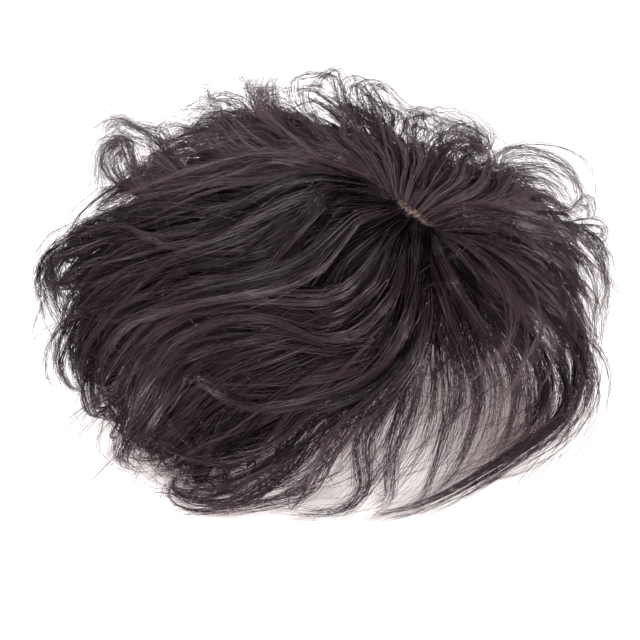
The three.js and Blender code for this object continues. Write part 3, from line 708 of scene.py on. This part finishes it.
# Tubes of three sides round each path, closed at both ends. A point is the path plus the radius
# times a corner of a triangle across it; u picks the strand's tone and v runs along it.
def strandTubes(paths, settings):
    count, points = paths.shape[:2]
    limit = hairPlan["proud"]
    inside = np.clip(paths[..., :2], cadLow[:2] - limit, cadHigh[:2] + limit)
    paths[..., :2] = inside + hairPlan["drawnIn"] * (paths[..., :2] - inside)
    paths[..., 2] = np.maximum(paths[..., 2], hairPlan["floorGap"])
    side, outward = acrossPaths(paths, strandPlan["lean"])
    share = np.linspace(0, 1, points)
    thin = settings["radius"] * (1 - (1 - settings["tipRadius"]) * share ** 3)
    radius = (thin * chanceFrom(strandPlan["sizes"], (count, 1)))[..., None, None]
    turn = np.radians(strandPlan["corners"])[:, None]
    ring = np.cos(turn) * side[:, :, None] + np.sin(turn) * outward[:, :, None]
    vertices = (paths[:, :, None] + radius * ring).reshape(-1, 3)
    first = np.arange(count)[:, None, None] * points * 3
    rows = first + np.arange(points - 1)[:, None] * 3
    sides = np.arange(3)
    nextSide = (sides + 1) % 3
    quads = np.stack([rows + sides, rows + nextSide, rows + nextSide + 3, rows + sides + 3], -1)
    ends = np.stack([first[:, 0] + [0, 2, 1], first[:, 0] + (points - 1) * 3 + [0, 1, 2]], 1)
    tones = settings["tones"]
    clump = dice.normal(size=count // settings["strands"] + 1).repeat(settings["strands"])[:count]
    chance = strandPlan["toneChance"] * dice.normal(size=count)
    tone = settings["tone"] + settings["clump"] * clump + chance
    tone = np.clip(tone * tones, 0, tones - 1).astype(int)
    uLow, uHigh = ((tone + edge) / tones for edge in strandPlan["toneEdges"])
    vLow, vHigh = share[:-1], share[1:]
    u = np.stack([uLow, uHigh, uHigh, uLow], -1)[:, None, None, :]
    v = np.stack([vLow, vLow, vHigh, vHigh], -1)[None, :, None, :]
    quadMap = np.stack(np.broadcast_arrays(u + 0 * v, v + 0 * u), -1).repeat(3, 2)
    cap = strandPlan["capDepth"]
    endU = np.stack([uLow, uHigh, uLow], -1)[:, None, :].repeat(2, 1)
    endV = np.array([[0.0, 0.0, cap], [1.0, 1.0, 1.0 - cap]])[None].repeat(count, 0)
    endMap = np.stack([endU, endV], -1).reshape(-1, 2)
    return vertices, quads.reshape(-1, 4), ends.reshape(-1, 3), quadMap.reshape(-1, 2), endMap


# One mesh from several sets of tubes and sheets, put in place as whole arrays
def strandMesh(name, sets):
    vertices, loops, starts, maps, base, used = [], [], [], [], 0, 0
    for points, quads, ends, quadMap, endMap in sets:
        vertices.append(points)
        loops += [quads.ravel() + base, ends.ravel() + base]
        starts += [used + 4 * np.arange(len(quads)), used + quads.size + 3 * np.arange(len(ends))]
        maps += [quadMap, endMap]
        base += len(points)
        used += quads.size + ends.size
    vertices = (np.concatenate(vertices) + partingMiddle) * mm
    loops, starts, maps = np.concatenate(loops), np.concatenate(starts), np.concatenate(maps)
    mesh = bpy.data.meshes.new(name)
    mesh.vertices.add(len(vertices))
    mesh.vertices.foreach_set("co", vertices.astype(np.float32).ravel())
    mesh.loops.add(len(loops))
    mesh.loops.foreach_set("vertex_index", loops.astype(np.int32))
    mesh.polygons.add(len(starts))
    mesh.polygons.foreach_set("loop_start", starts.astype(np.int32))
    layer = mesh.uv_layers.new(name="OFBake")
    layer.uv.foreach_set("vector", maps.astype(np.float32).ravel())
    mesh.update(calc_edges=True)
    mesh.validate()
    mesh.shade_smooth()
    piece = bpy.data.objects.new(name, mesh)
    bpy.context.scene.collection.objects.link(piece)
    triangles = sum(2 * len(s[1]) + len(s[2]) for s in sets)
    print("hair:", name, sum(len(s[2]) // 2 for s in sets), "strands,", triangles, "triangles")
    return piece


hairFinish = {
    "name": "dark_brown_hair",
    "tones": 64,
    "grain": (1.7, 2.5),  # noise across each tone and along a strand
    "detail": 2.0,
    "tipTint": 0.42,
    "noiseTint": 0.6,
    "ramp": (0.34, 0.68, 1.0),
    "colours": [(0.0012, 0.0009, 0.0012, 1.0), (0.0074, 0.0052, 0.0065, 1.0), (0.044, 0.0270, 0.0325, 1.0)],
    "roughness": 0.22,
    "specular": (0.06, 0.5),  # at the root, and from the share of the length below
    "sheenFull": 0.22,
    "shine": (1.0, 0.85, 0.95, 1.0),
    "gloss": (0.3, 1.8),  # times the specular level of the darkest tone and of the lightest
}
looseFinish = dict(
    hairFinish, name="loose_brown_hair", roughness=0.45, specular=(0.04, 0.2),
    colours=[(0.005, 0.0037, 0.0042, 1.0), (0.026, 0.0185, 0.021, 1.0), (0.10, 0.068, 0.075, 1.0)],
)
# A lighter brown with less shine: its lighter base colour is partly a browner tone of its own and partly
# painted sheen in place of the highlight it lacks.
topFinish = dict(
    hairFinish, name="top_brown_hair", roughness=0.3, specular=(0.05, 0.34),
    colours=[(0.0015, 0.0011, 0.0014, 1.0), (0.011, 0.0074, 0.0085, 1.0), (0.058, 0.0350, 0.039, 1.0)],
)
leftFinish = dict(hairFinish, name="left_brown_hair", roughness=0.27, specular=(0.05, 0.38))


# Hair colour: browner with u, the strand's tone, and with v, towards its tip, plus noise; the shine
# grows with v from the root and with the tone
def hairMaterial(finish):
    material, nodes, links, shader = newMaterial(finish["name"])
    setSockets(shader, {"Roughness": finish["roughness"], "Specular Tint": finish["shine"]})
    places = nodes.new("ShaderNodeUVMap")
    places.uv_map = "OFBake"
    stretch = nodes.new("ShaderNodeMapping")
    across, lengthwise = finish["grain"]
    setSockets(stretch, {"Scale": (finish["tones"] * across, lengthwise, 1.0)})
    noise = nodes.new("ShaderNodeTexNoise")
    setSockets(noise, {"Scale": 1.0, "Detail": finish["detail"]})
    split = nodes.new("ShaderNodeSeparateXYZ")
    sheen = rangeNode(nodes, finish["specular"])
    setSockets(sheen, {"From Max": finish["sheenFull"]})
    gloss = rangeNode(nodes, finish["gloss"])
    level = mathNode(nodes, "MULTIPLY")
    tint = mathNode(nodes, "MULTIPLY_ADD")
    tint.inputs[1].default_value = finish["tipTint"]
    add = mathNode(nodes, "MULTIPLY_ADD")
    add.inputs[1].default_value = finish["noiseTint"]
    ramp = nodes.new("ShaderNodeValToRGB")
    ramp.color_ramp.elements.new(0.5)
    for element, position, colour in zip(ramp.color_ramp.elements, finish["ramp"], finish["colours"]):
        element.position = position
        element.color = colour
    joinSockets(links, [
        (places.outputs["UV"], stretch.inputs["Vector"]),
        (stretch.outputs["Vector"], noise.inputs["Vector"]),
        (places.outputs["UV"], split.inputs["Vector"]),
        (split.outputs["Y"], sheen.inputs["Value"]),
        (split.outputs["X"], gloss.inputs["Value"]),
        (sheen.outputs["Result"], level.inputs[0]),
        (gloss.outputs["Result"], level.inputs[1]),
        (level.outputs["Value"], shader.inputs["Specular IOR Level"]),
        (split.outputs["Y"], tint.inputs[0]),
        (split.outputs["X"], tint.inputs[2]),
        (noise.outputs["Fac"], add.inputs[0]),
        (tint.outputs["Value"], add.inputs[2]),
        (add.outputs["Value"], ramp.inputs["Fac"]),
        (ramp.outputs["Color"], shader.inputs["Base Color"]),
    ])
    return material


finishes = (hairFinish, looseFinish, topFinish, leftFinish)
hair, looseHair, topHair, leftHair = (hairMaterial(finish) for finish in finishes)
pieceFinish = {
    "back_curls": looseHair, "back_loops": looseHair, "left_tufts": looseHair, "left_curls": topHair,
    "top_flows": topHair, "left_waves": leftHair, "left_flows": leftHair, "sweep_waves": leftHair,
    "fringe_side": topHair, "right_fall": topHair, "right_flows": topHair,
}

# The lock wisps' tone here is darker than the charted flows' tone below: painted shade of the hair lying
# deeper.
waveLocks = {
    "wisps": 12, "strands": 12, "points": 12, "latest": 0.035, "shortest": 0.45, "feather": 1.2,
    "rootSpread": 0.55, "tipSpread": 0.6, "spread": 1.5, "strandDepth": 0.22, "frizz": 0.9, "wild": 3.0,
    "wildShare": 0.06, "stray": (0.8, 1.6, 2.4, 3.2), "tipShift": -0.03, "tipChance": 0.04,
    "turnChance": 30.0, "riseChance": 3.0, "hooks": 0.4, "hookRadius": 8.0, "waveLength": 82.0,
    "waveWidth": 5.0, "waveHeight": 3.4, "phase": 0.1, "phaseStep": 0.04, "radius": 0.15,
    "tipRadius": 0.45, "tone": 0.2, "clump": 0.2, "tones": hairFinish["tones"],
}
curlLocks = dict(waveLocks, turnChance=40.0, tipChance=0.05, waveHeight=2.8, hooks=0.55, frizz=1.1,
                 stray=(1.0, 1.8, 3.0, 4.0), riseChance=4.0, waveLength=66.0)
thinLocks = dict(waveLocks, wisps=9, strands=10, spread=1.3, hooks=0.1, shortest=0.5, feather=0.8,
                 turnChance=12.0, radius=0.14, tone=0.34)
fringeLocks = dict(waveLocks, wisps=34, strands=5, spread=3.0, waveHeight=1.0, waveWidth=1.5, hooks=0.0,
                   stray=(1.5, 3.0, 4.5, 5.0), frizz=1.0, tipSpread=0.9, shortest=0.52, feather=0.5,
                   turnChance=10.0, tipShift=0.0, tipChance=0.02, radius=0.115, tone=0.3)
sideLocks = dict(fringeLocks, wisps=26, strands=9, shortest=0.4, feather=0.8, radius=0.14, tone=0.45)
rightLocks = dict(waveLocks, tipShift=-0.13, wild=1.5, tone=0.42)
hangLocks = dict(waveLocks, strands=10, points=9, shortest=0.25, frizz=1.0, rootSpread=0.6, tipSpread=0.7,
                 radius=0.18, tone=0.6)
bareLocks = dict(hangLocks, strands=2)
rimLocks = dict(waveLocks, strands=10, points=9, shortest=0.4, feather=1.0, frizz=0.8, rootSpread=0.4,
                tipSpread=0.6, radius=0.17, tone=0.22)
flowLocks = dict(waveLocks, strands=18, points=15, shortest=0.58, feather=1.2, spread=1.3, frizz=1.0,
                 rootSpread=0.5, tipSpread=0.5, leave=0.36, radius=0.14, tone=0.36, clump=0.28)
hookLocks = dict(flowLocks, strands=14, shortest=0.25, frizz=1.1)
tuftLocks = dict(hookLocks, strands=10, shortest=0.4, frizz=2.1, spread=2.0, leave=0.5, radius=0.115,
                 tone=0.6)

hairPieces = [  # piece, node, its locks, its hanging locks, bearings of its dense hair, settings
    # left_curls: a lighter tone with the top finish, partly painted sheen
    ("left_curls", "hair_left", range(0, 4), range(0, 2), (122, 160), dict(curlLocks, tone=0.42)),
    ("left_waves", "hair_left", range(4, 8), range(2, 4), (160, 197), dict(waveLocks, wisps=14)),
    ("sweep_waves", "hair_sweep", range(0, 5), range(0, 2), (197, 236), dict(waveLocks, wisps=13, tone=0.32)),
    ("sweep_ends", "hair_sweep", range(5, 8), range(2, 3), (236, 262), thinLocks),
    ("fringe_strands", "hair_fringe", range(0, 3), range(0, 0), (262, 300), fringeLocks),
    ("fringe_side", "hair_fringe", range(3, 5), range(0, 0), (300, 335), sideLocks),
    ("right_fall", "hair_right", range(0, 3), range(0, 2), (335, 385), rightLocks),
    ("back_curls", "hair_back", range(0, 6), range(0, 5), (385, 482), dict(curlLocks, wisps=9, tone=0.52)),
]
flowPieces = [  # piece, node, its flows, settings
    # top_flows: a light tone with the top finish, partly painted sheen
    ("top_flows", "hair_left", range(0, 2), dict(flowLocks, tone=0.72)),
    ("left_flows", "hair_left", range(2, 7), dict(flowLocks, tone=0.34)),
    ("left_hooks", "hair_left", range(7, 14), dict(hookLocks, tone=0.42)),
    ("left_tufts", "hair_left", range(14, 26), tuftLocks),
    ("sweep_flows", "hair_sweep", range(0, 6), dict(flowLocks, tone=0.4, clump=0.36)),
    ("sweep_hooks", "hair_sweep", range(6, 12), dict(hookLocks, strands=16, tone=0.54, clump=0.34)),
    ("fringe_flows", "hair_fringe", range(0, 7), dict(flowLocks, strands=20, shortest=0.2, tone=0.42)),
    ("right_flows", "hair_right", range(0, 4), dict(flowLocks, tone=0.62)),
    ("back_loops", "hair_back", range(0, 13), dict(hookLocks, strands=8, radius=0.11)),
]


# Hanging hair: out from the rim of the base to the foot by a quarter sine, and down by share to the 1.5
def hangingPlace(bearing, foot, share, spill):
    ring = hangingPlan["ring"] + (foot - hangingPlan["ring"]) * np.sin(share * np.pi / 2)
    top = hairPlace(hangingPlan["ring"] + 0 * bearing, bearing, -hangingPlan["topDepth"], 0.0)[..., 2]
    path = hairPlace(ring, bearing, 0.0, 0.0)
    path[..., 2] = top * (1 - spill * share ** 1.5)
    return path


# Its wisps: spilled on to the floor at the foot, each with a wave across that grows towards the tip
def hangingWisps(row, points):
    count = hangingPlan["wisps"]
    each = (count, 1)
    middle, foot, width, _ = row
    share = np.linspace(0, 1, points)
    place = (np.arange(count)[:, None] + dice.random(each)) / count - 0.5
    wave = np.sin(2 * np.pi * (hangingPlan["waves"] * share + dice.random(each)))
    grown = smoothStep(0.0, hangingPlan["waveGrown"], share)
    across = hangingPlan["overlap"] * width * place + hangingPlan["wave"] * wave * grown
    across = across + hangingPlan["drift"] * dice.normal(size=each) * share ** 2
    bearing = middle + np.degrees(across / (hangingPlan["midway"] * outlineAt(1, np.array(middle, float))))
    foot = foot + hangingPlan["footChance"] * dice.normal(size=each)
    flare = smoothStep(hangingPlan["flareFrom"], 1.0, share)
    foot = foot + hangingPlan["flare"] * dice.random(each) * flare
    return hangingPlace(bearing, foot, share, hangingPlan["spill"])


# A closed sheet between two surfaces of columns by rows of points. Each column has a dark tone of its
# own, and v stays low, so that it hardly shines.
def sheetSet(top, under, tones, dark):
    columns, rows = top.shape[:2]
    points = np.concatenate([top, under[:, ::-1]], 1)
    points[..., 2] = np.maximum(points[..., 2], hairPlan["floorGap"])
    around = 2 * rows
    first = np.arange(columns - 1)[:, None] * around
    step = np.arange(around)
    after = (step + 1) % around
    quads = np.stack([first + step, first + after, first + after + around, first + step + around], -1)
    half = np.arange(rows - 1)
    cap = np.stack([half, around - 1 - half, around - 2 - half, half + 1], -1)
    quads = np.concatenate([quads.reshape(-1, 4), cap, cap[:, ::-1] + (columns - 1) * around])
    share = np.linspace(0, 1, rows)
    u = ((dice.integers(0, dark, columns) + 0.5) / tones)[:, None].repeat(around, 1).ravel()
    v = np.tile(massPlan["sheen"] * np.concatenate([share, share[::-1]]), columns)
    quadMap = np.stack([u[quads[:, :1]].repeat(4, 1), v[quads]], -1)
    return points.reshape(-1, 3), quads, np.zeros((0, 3), int), quadMap.reshape(-1, 2), np.zeros((0, 2))


# The dense hair behind those wisps: one sheet from the first of the locks to the last, shorter towards
# its ends. Running means of chance swell its foot in and out and shift the wave along its columns.
def hangingSheet(rows, tones):
    bearings, feet, widths, _ = np.array(rows, float).T
    ends = np.degrees(hangingPlan["sheetPast"] * widths / outlineAt(1, bearings))
    low, high = bearings[0] - ends[0], bearings[-1] + ends[-1]
    columns = int((high - low) / hangingPlan["sheetStep"]) + 2
    bearing = np.linspace(low, high, columns)[:, None]
    mean = np.ones(hangingPlan["sheetMean"]) / hangingPlan["sheetMean"] ** 0.5
    swell, shift = (np.convolve(row, mean, "same")[:, None] for row in dice.normal(size=(2, columns)))
    foot = np.interp(bearing, bearings, feet) - hangingPlan["sheetIn"] + hangingPlan["sheetRelief"] * swell
    first = hangingPlan["sheetFront"] if low > hangingPlan["sheetFringe"] else hangingPlan["sheetTaper"]
    length = smoothStep(0, first, bearing - low) * smoothStep(0, hangingPlan["sheetTaper"], high - bearing)
    length = hangingPlan["sheetEnd"] + (1 - hangingPlan["sheetEnd"]) * length
    share = np.linspace(0, 1, hangingPlan["sheetRows"]) * length
    wave = np.sin(2 * np.pi * hangingPlan["waves"] * share + hangingPlan["sheetShift"] * shift)
    wave = wave * smoothStep(0.0, hangingPlan["waveGrown"], share)
    turn = hangingPlan["wave"] * wave / (hangingPlan["midway"] * outlineAt(1, bearing))
    bearing = bearing + np.degrees(turn)
    outer = hangingPlace(bearing, foot, share, 1.0)
    inner = hangingPlace(bearing, foot - hangingPlan["sheetDeep"], share, 1.0)
    outer[..., 2] -= hangingPlan["sheetDown"]
    inner[..., 2] -= hangingPlan["sheetDown"] + hangingPlan["sheetThick"]
    return sheetSet(outer, inner, tones, hangingPlan["sheetTones"])


# The dense hair under the locks: a sheet from bearing to bearing, so far under the outer hair and
# thinning to a ragged rim. It takes only the darkest tones: painted shade of the deep hair.
def massSet(low, high, tones):
    columns = int((high - low) / massPlan["step"]) + 1
    each = (columns, 1)
    bearing = np.linspace(low, high, columns)[:, None]
    share = np.linspace(0, 1, massPlan["rings"])
    rim = np.interp(np.mod(bearing, 360.0), *denseRows.T) + massPlan["ragged"] * dice.normal(size=each)
    ring = massPlan["inner"] + (rim - massPlan["inner"]) * share
    near, far = massPlan["depth"]
    depth = near + (far - near) * share ** 2
    depth = depth + massPlan["swell"] * dice.normal(size=each) * smoothStep(0, massPlan["swellGrown"], share)
    top = hairPlace(ring, bearing, -depth, 0.0)
    under = hairPlace(ring, bearing, -depth - massPlan["thick"] * (massPlan["thinning"] - share), 0.0)
    return sheetSet(top, under, tones, massPlan["tones"])


rimPlan = {
    "drift": 9.0, "bend": 2.0,  # degrees by chance, over the length and in the middle
    "startChance": 0.08, "startLimit": 2, "endChance": 0.05,
    "turns": (0.45, 0.3),  # half turns that it goes out by, the least and how much more by chance
    "depth": (1.0, 7.0), "ripple": 1.5, "ripples": 2.5, "sunk": 3.0, "risen": 0.3,
    "spread": (2.2, 1.5),  # mm between its strands, across and in depth
}


# Wisps of the rim: out by sine of half a turn times a share of its own, which hooks some of them
# back, while the bearing swings by share squared, at depths of their own
def rimWisps(row, points):
    low, high, start, end, swing, count = row
    each = (count, 1)
    share = np.linspace(0, 1, points)
    chance = dice.normal(size=(5, count, 1))
    bearing = low + (high - low) * dice.random(each)
    bend = rimPlan["bend"] * chance[1] * np.sin(2 * np.pi * share)
    bearing = bearing + (swing + rimPlan["drift"] * chance[0]) * share ** 2 + bend
    begin = start + rimPlan["startChance"] * np.clip(chance[2], -rimPlan["startLimit"], rimPlan["startLimit"])
    reach = end - rimPlan["endChance"] * np.abs(chance[3]) - begin
    ring = begin + reach * np.sin(np.pi * chanceFrom(rimPlan["turns"], each) * share)
    ripple = rimPlan["ripple"] * chance[4] * np.sin(rimPlan["ripples"] * np.pi * share)
    depth = chanceFrom(rimPlan["depth"], each) + ripple
    sunk = rimPlan["sunk"] * (1 - smoothStep(0.0, rimPlan["risen"], share))
    return hairPlace(ring, bearing, -depth - sunk, 0.0)


# A piece's mesh with its finish, in place of the part's own node
def finishHair(name, node, sets):
    piece = strandMesh(name, sets)
    piece.data.materials.append(pieceFinish.get(name, hair))
    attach(piece, "root")
    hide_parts(node)


# One piece of hair: its dense hair, its locks, what hangs under them and its rim
def makeHair(name, node, locks, hanging, dense, settings):
    sets = [massSet(*dense, settings["tones"])]
    for lock in locks:
        paths = respaced(keptPaths(makeWisps(firstLock[node] + lock, settings)), settings["points"])
        width, thick = lockRows[node][lock][-2:]
        spread = (settings["spread"] * width / settings["wisps"], settings["strandDepth"] * thick)
        sets.append(strandTubes(strandPaths(paths, settings, spread), settings))
    hangingPart = [hangingRows[node][lock] for lock in hanging]
    bare = name in hangingPlan["bare"]
    loose = bareLocks if bare else hangLocks
    if hangingPart and not bare:
        sets.append(hangingSheet(hangingPart, settings["tones"]))
    for row in hangingPart:
        across, depth = hangingPlan["spread"]
        spread = (across * row[2] / hangingPlan["wisps"], depth * row[3])
        paths = strandPaths(hangingWisps(row, loose["points"]), loose, spread)
        sets.append(strandTubes(paths, loose))
    for row in rimRows[name]:
        rim = rimWisps(row, rimLocks["points"])
        sets.append(strandTubes(strandPaths(rim, rimLocks, rimPlan["spread"]), rimLocks))
    finishHair(name, node, sets)


# One piece of charted locks
def makeFlows(name, node, flows, settings):
    sets = []
    for flow in flows:
        row = flowRows[node][flow]
        spread = (settings["spread"] * row[0] / row[2], flowPlan["strandDepth"] * row[1])
        paths = strandPaths(flowWisps(row, settings), settings, spread)
        sets.append(strandTubes(paths, settings))
    finishHair(name, node, sets)


strayHairs = {
    "count": 600, "strands": 1, "points": 10, "begin": (0.25, 0.72), "run": (-0.06, 0.4), "furthest": 1.05,
    "swing": 17.0, "bow": 9.0, "coil": 3.0, "coils": 1.4, "lift": (3.0, 5.0), "swell": 1.5, "swells": 1.1,
    # a near-lightest tone: partly the strays' browner colour, partly painted sheen standing in for their
    # highlights
    "radius": 0.075, "tipRadius": 0.6, "tone": 0.95, "clump": 0.2, "tones": hairFinish["tones"],
}


# Stray hairs: from one ring to another while the bearing swings, with a bow of share squared and a
# slow coil across, rising off the other hair
def strayPaths(plan):
    size = (plan["count"], 1)
    share = np.linspace(0, 1, plan["points"])
    bearing = 360 * dice.random(size) + plan["swing"] * dice.normal(size=size) * share
    begin = chanceFrom(plan["begin"], size)
    run = chanceFrom(plan["run"], size)
    ring = begin + (np.minimum(begin + run, plan["furthest"]) - begin) * share
    bow = plan["bow"] * dice.normal(size=size) * share ** 2
    coil = plan["coil"] * dice.normal(size=size)
    coil = coil * np.sin(2 * np.pi * (plan["coils"] * share + dice.random(size)))
    angle = bearing + np.degrees((bow + coil) / (ring * outlineAt(1, bearing)))
    lift = plan["lift"][0] + plan["lift"][1] * dice.random(size) * share
    swell = plan["swell"] * dice.normal(size=size)
    swell = swell * np.sin(2 * np.pi * (plan["swells"] * share + dice.random(size)))
    return hairPlace(ring, angle, lift + swell, 0.0)


# One piece of loose hairs, which stands in for no node
def makeStrays(plan):
    piece = strandMesh("stray_hairs", [strandTubes(strayPaths(plan), plan)])
    piece.data.materials.append(hair)
    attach(piece, "root")


for pieceRow in hairPieces:
    makeHair(*pieceRow)
for pieceRow in flowPieces:
    makeFlows(*pieceRow)
makeStrays(strayHairs)

silkFinish = {
    "name": "parting_silk", "scale": 1300.0, "ramp": (0.40, 0.62), "low": (0.030, 0.018, 0.017, 1.0),
    "high": (0.22, 0.15, 0.13, 1.0), "roughness": (0.75, 0.9), "bump": 0.35, "specular": 0.2,
    "detail": 3.0, "bumpDepth": 0.0003,
}
clipFinish = {
    "name": "clip_enamel", "scale": 420.0, "ramp": (0.35, 0.75), "low": (0.016, 0.015, 0.014, 1.0),
    "high": (0.040, 0.037, 0.034, 1.0), "roughness": (0.25, 0.5), "bump": 0.08, "specular": 0.5,
    "detail": 3.0, "bumpDepth": 0.0003,
}
netFinish = {
    "name": "base_net", "scale": 330.0, "ramp": (0.55, 0.85), "low": (0.010, 0.007, 0.007, 1.0),
    "high": (0.05, 0.034, 0.032, 1.0), "roughness": 0.85, "bump": 0.6, "specular": 0.2,
    "distortion": 0.6, "bumpDepth": 0.0004,
}


# A height goes through a ramp of two colours and into the bump
def rampAndBump(finish, nodes, links, shader, height):
    setSockets(shader, {"Specular IOR Level": finish["specular"]})
    ramp = nodes.new("ShaderNodeValToRGB")
    for element, position, colour in zip(ramp.color_ramp.elements, finish["ramp"], ("low", "high")):
        element.position = position
        element.color = finish[colour]
    bump = nodes.new("ShaderNodeBump")
    setSockets(bump, {"Strength": finish["bump"], "Distance": finish["bumpDepth"]})
    joinSockets(links, [
        (height, ramp.inputs["Fac"]),
        (height, bump.inputs["Height"]),
        (ramp.outputs["Color"], shader.inputs["Base Color"]),
        (bump.outputs["Normal"], shader.inputs["Normal"]),
    ])


# Silk and clips: noise on Object coordinates as that height, and into the roughness
def speckledMaterial(finish):
    material, nodes, links, shader = newMaterial(finish["name"])
    places = nodes.new("ShaderNodeTexCoord")
    noise = nodes.new("ShaderNodeTexNoise")
    setSockets(noise, {"Scale": finish["scale"], "Detail": finish["detail"]})
    rough = rangeNode(nodes, finish["roughness"])
    joinSockets(links, [
        (places.outputs["Object"], noise.inputs["Vector"]),
        (noise.outputs["Fac"], rough.inputs["Value"]),
        (rough.outputs["Result"], shader.inputs["Roughness"]),
    ])
    rampAndBump(finish, nodes, links, shader, noise.outputs["Fac"])
    return material


# Net: two sets of wave bands across each other on Object coordinates, the larger one of the two
# being the thread
def netMaterial(finish):
    material, nodes, links, shader = newMaterial(finish["name"])
    setSockets(shader, {"Roughness": finish["roughness"]})
    places = nodes.new("ShaderNodeTexCoord")
    larger = mathNode(nodes, "MAXIMUM")
    for i, axis in enumerate(("X", "Y")):
        bands = nodes.new("ShaderNodeTexWave")
        bands.bands_direction = axis
        setSockets(bands, {"Scale": finish["scale"], "Distortion": finish["distortion"]})
        joinSockets(links, [
            (places.outputs["Object"], bands.inputs["Vector"]),
            (bands.outputs["Fac"], larger.inputs[i]),
        ])
    rampAndBump(finish, nodes, links, shader, larger.outputs["Value"])
    return material


# A finish put on a node of the part as it is
def dress(node, material):
    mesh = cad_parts[node].data
    mesh.materials.clear()
    mesh.materials.append(material)


dress("base_cap", netMaterial(netFinish))
dress("parting_strip", speckledMaterial(silkFinish))
enamel = speckledMaterial(clipFinish)
for clip in ("clip_front", "clip_right", "clip_back", "clip_left"):
    dress(clip, enamel)
print("base: net, parting silk and clips dressed")
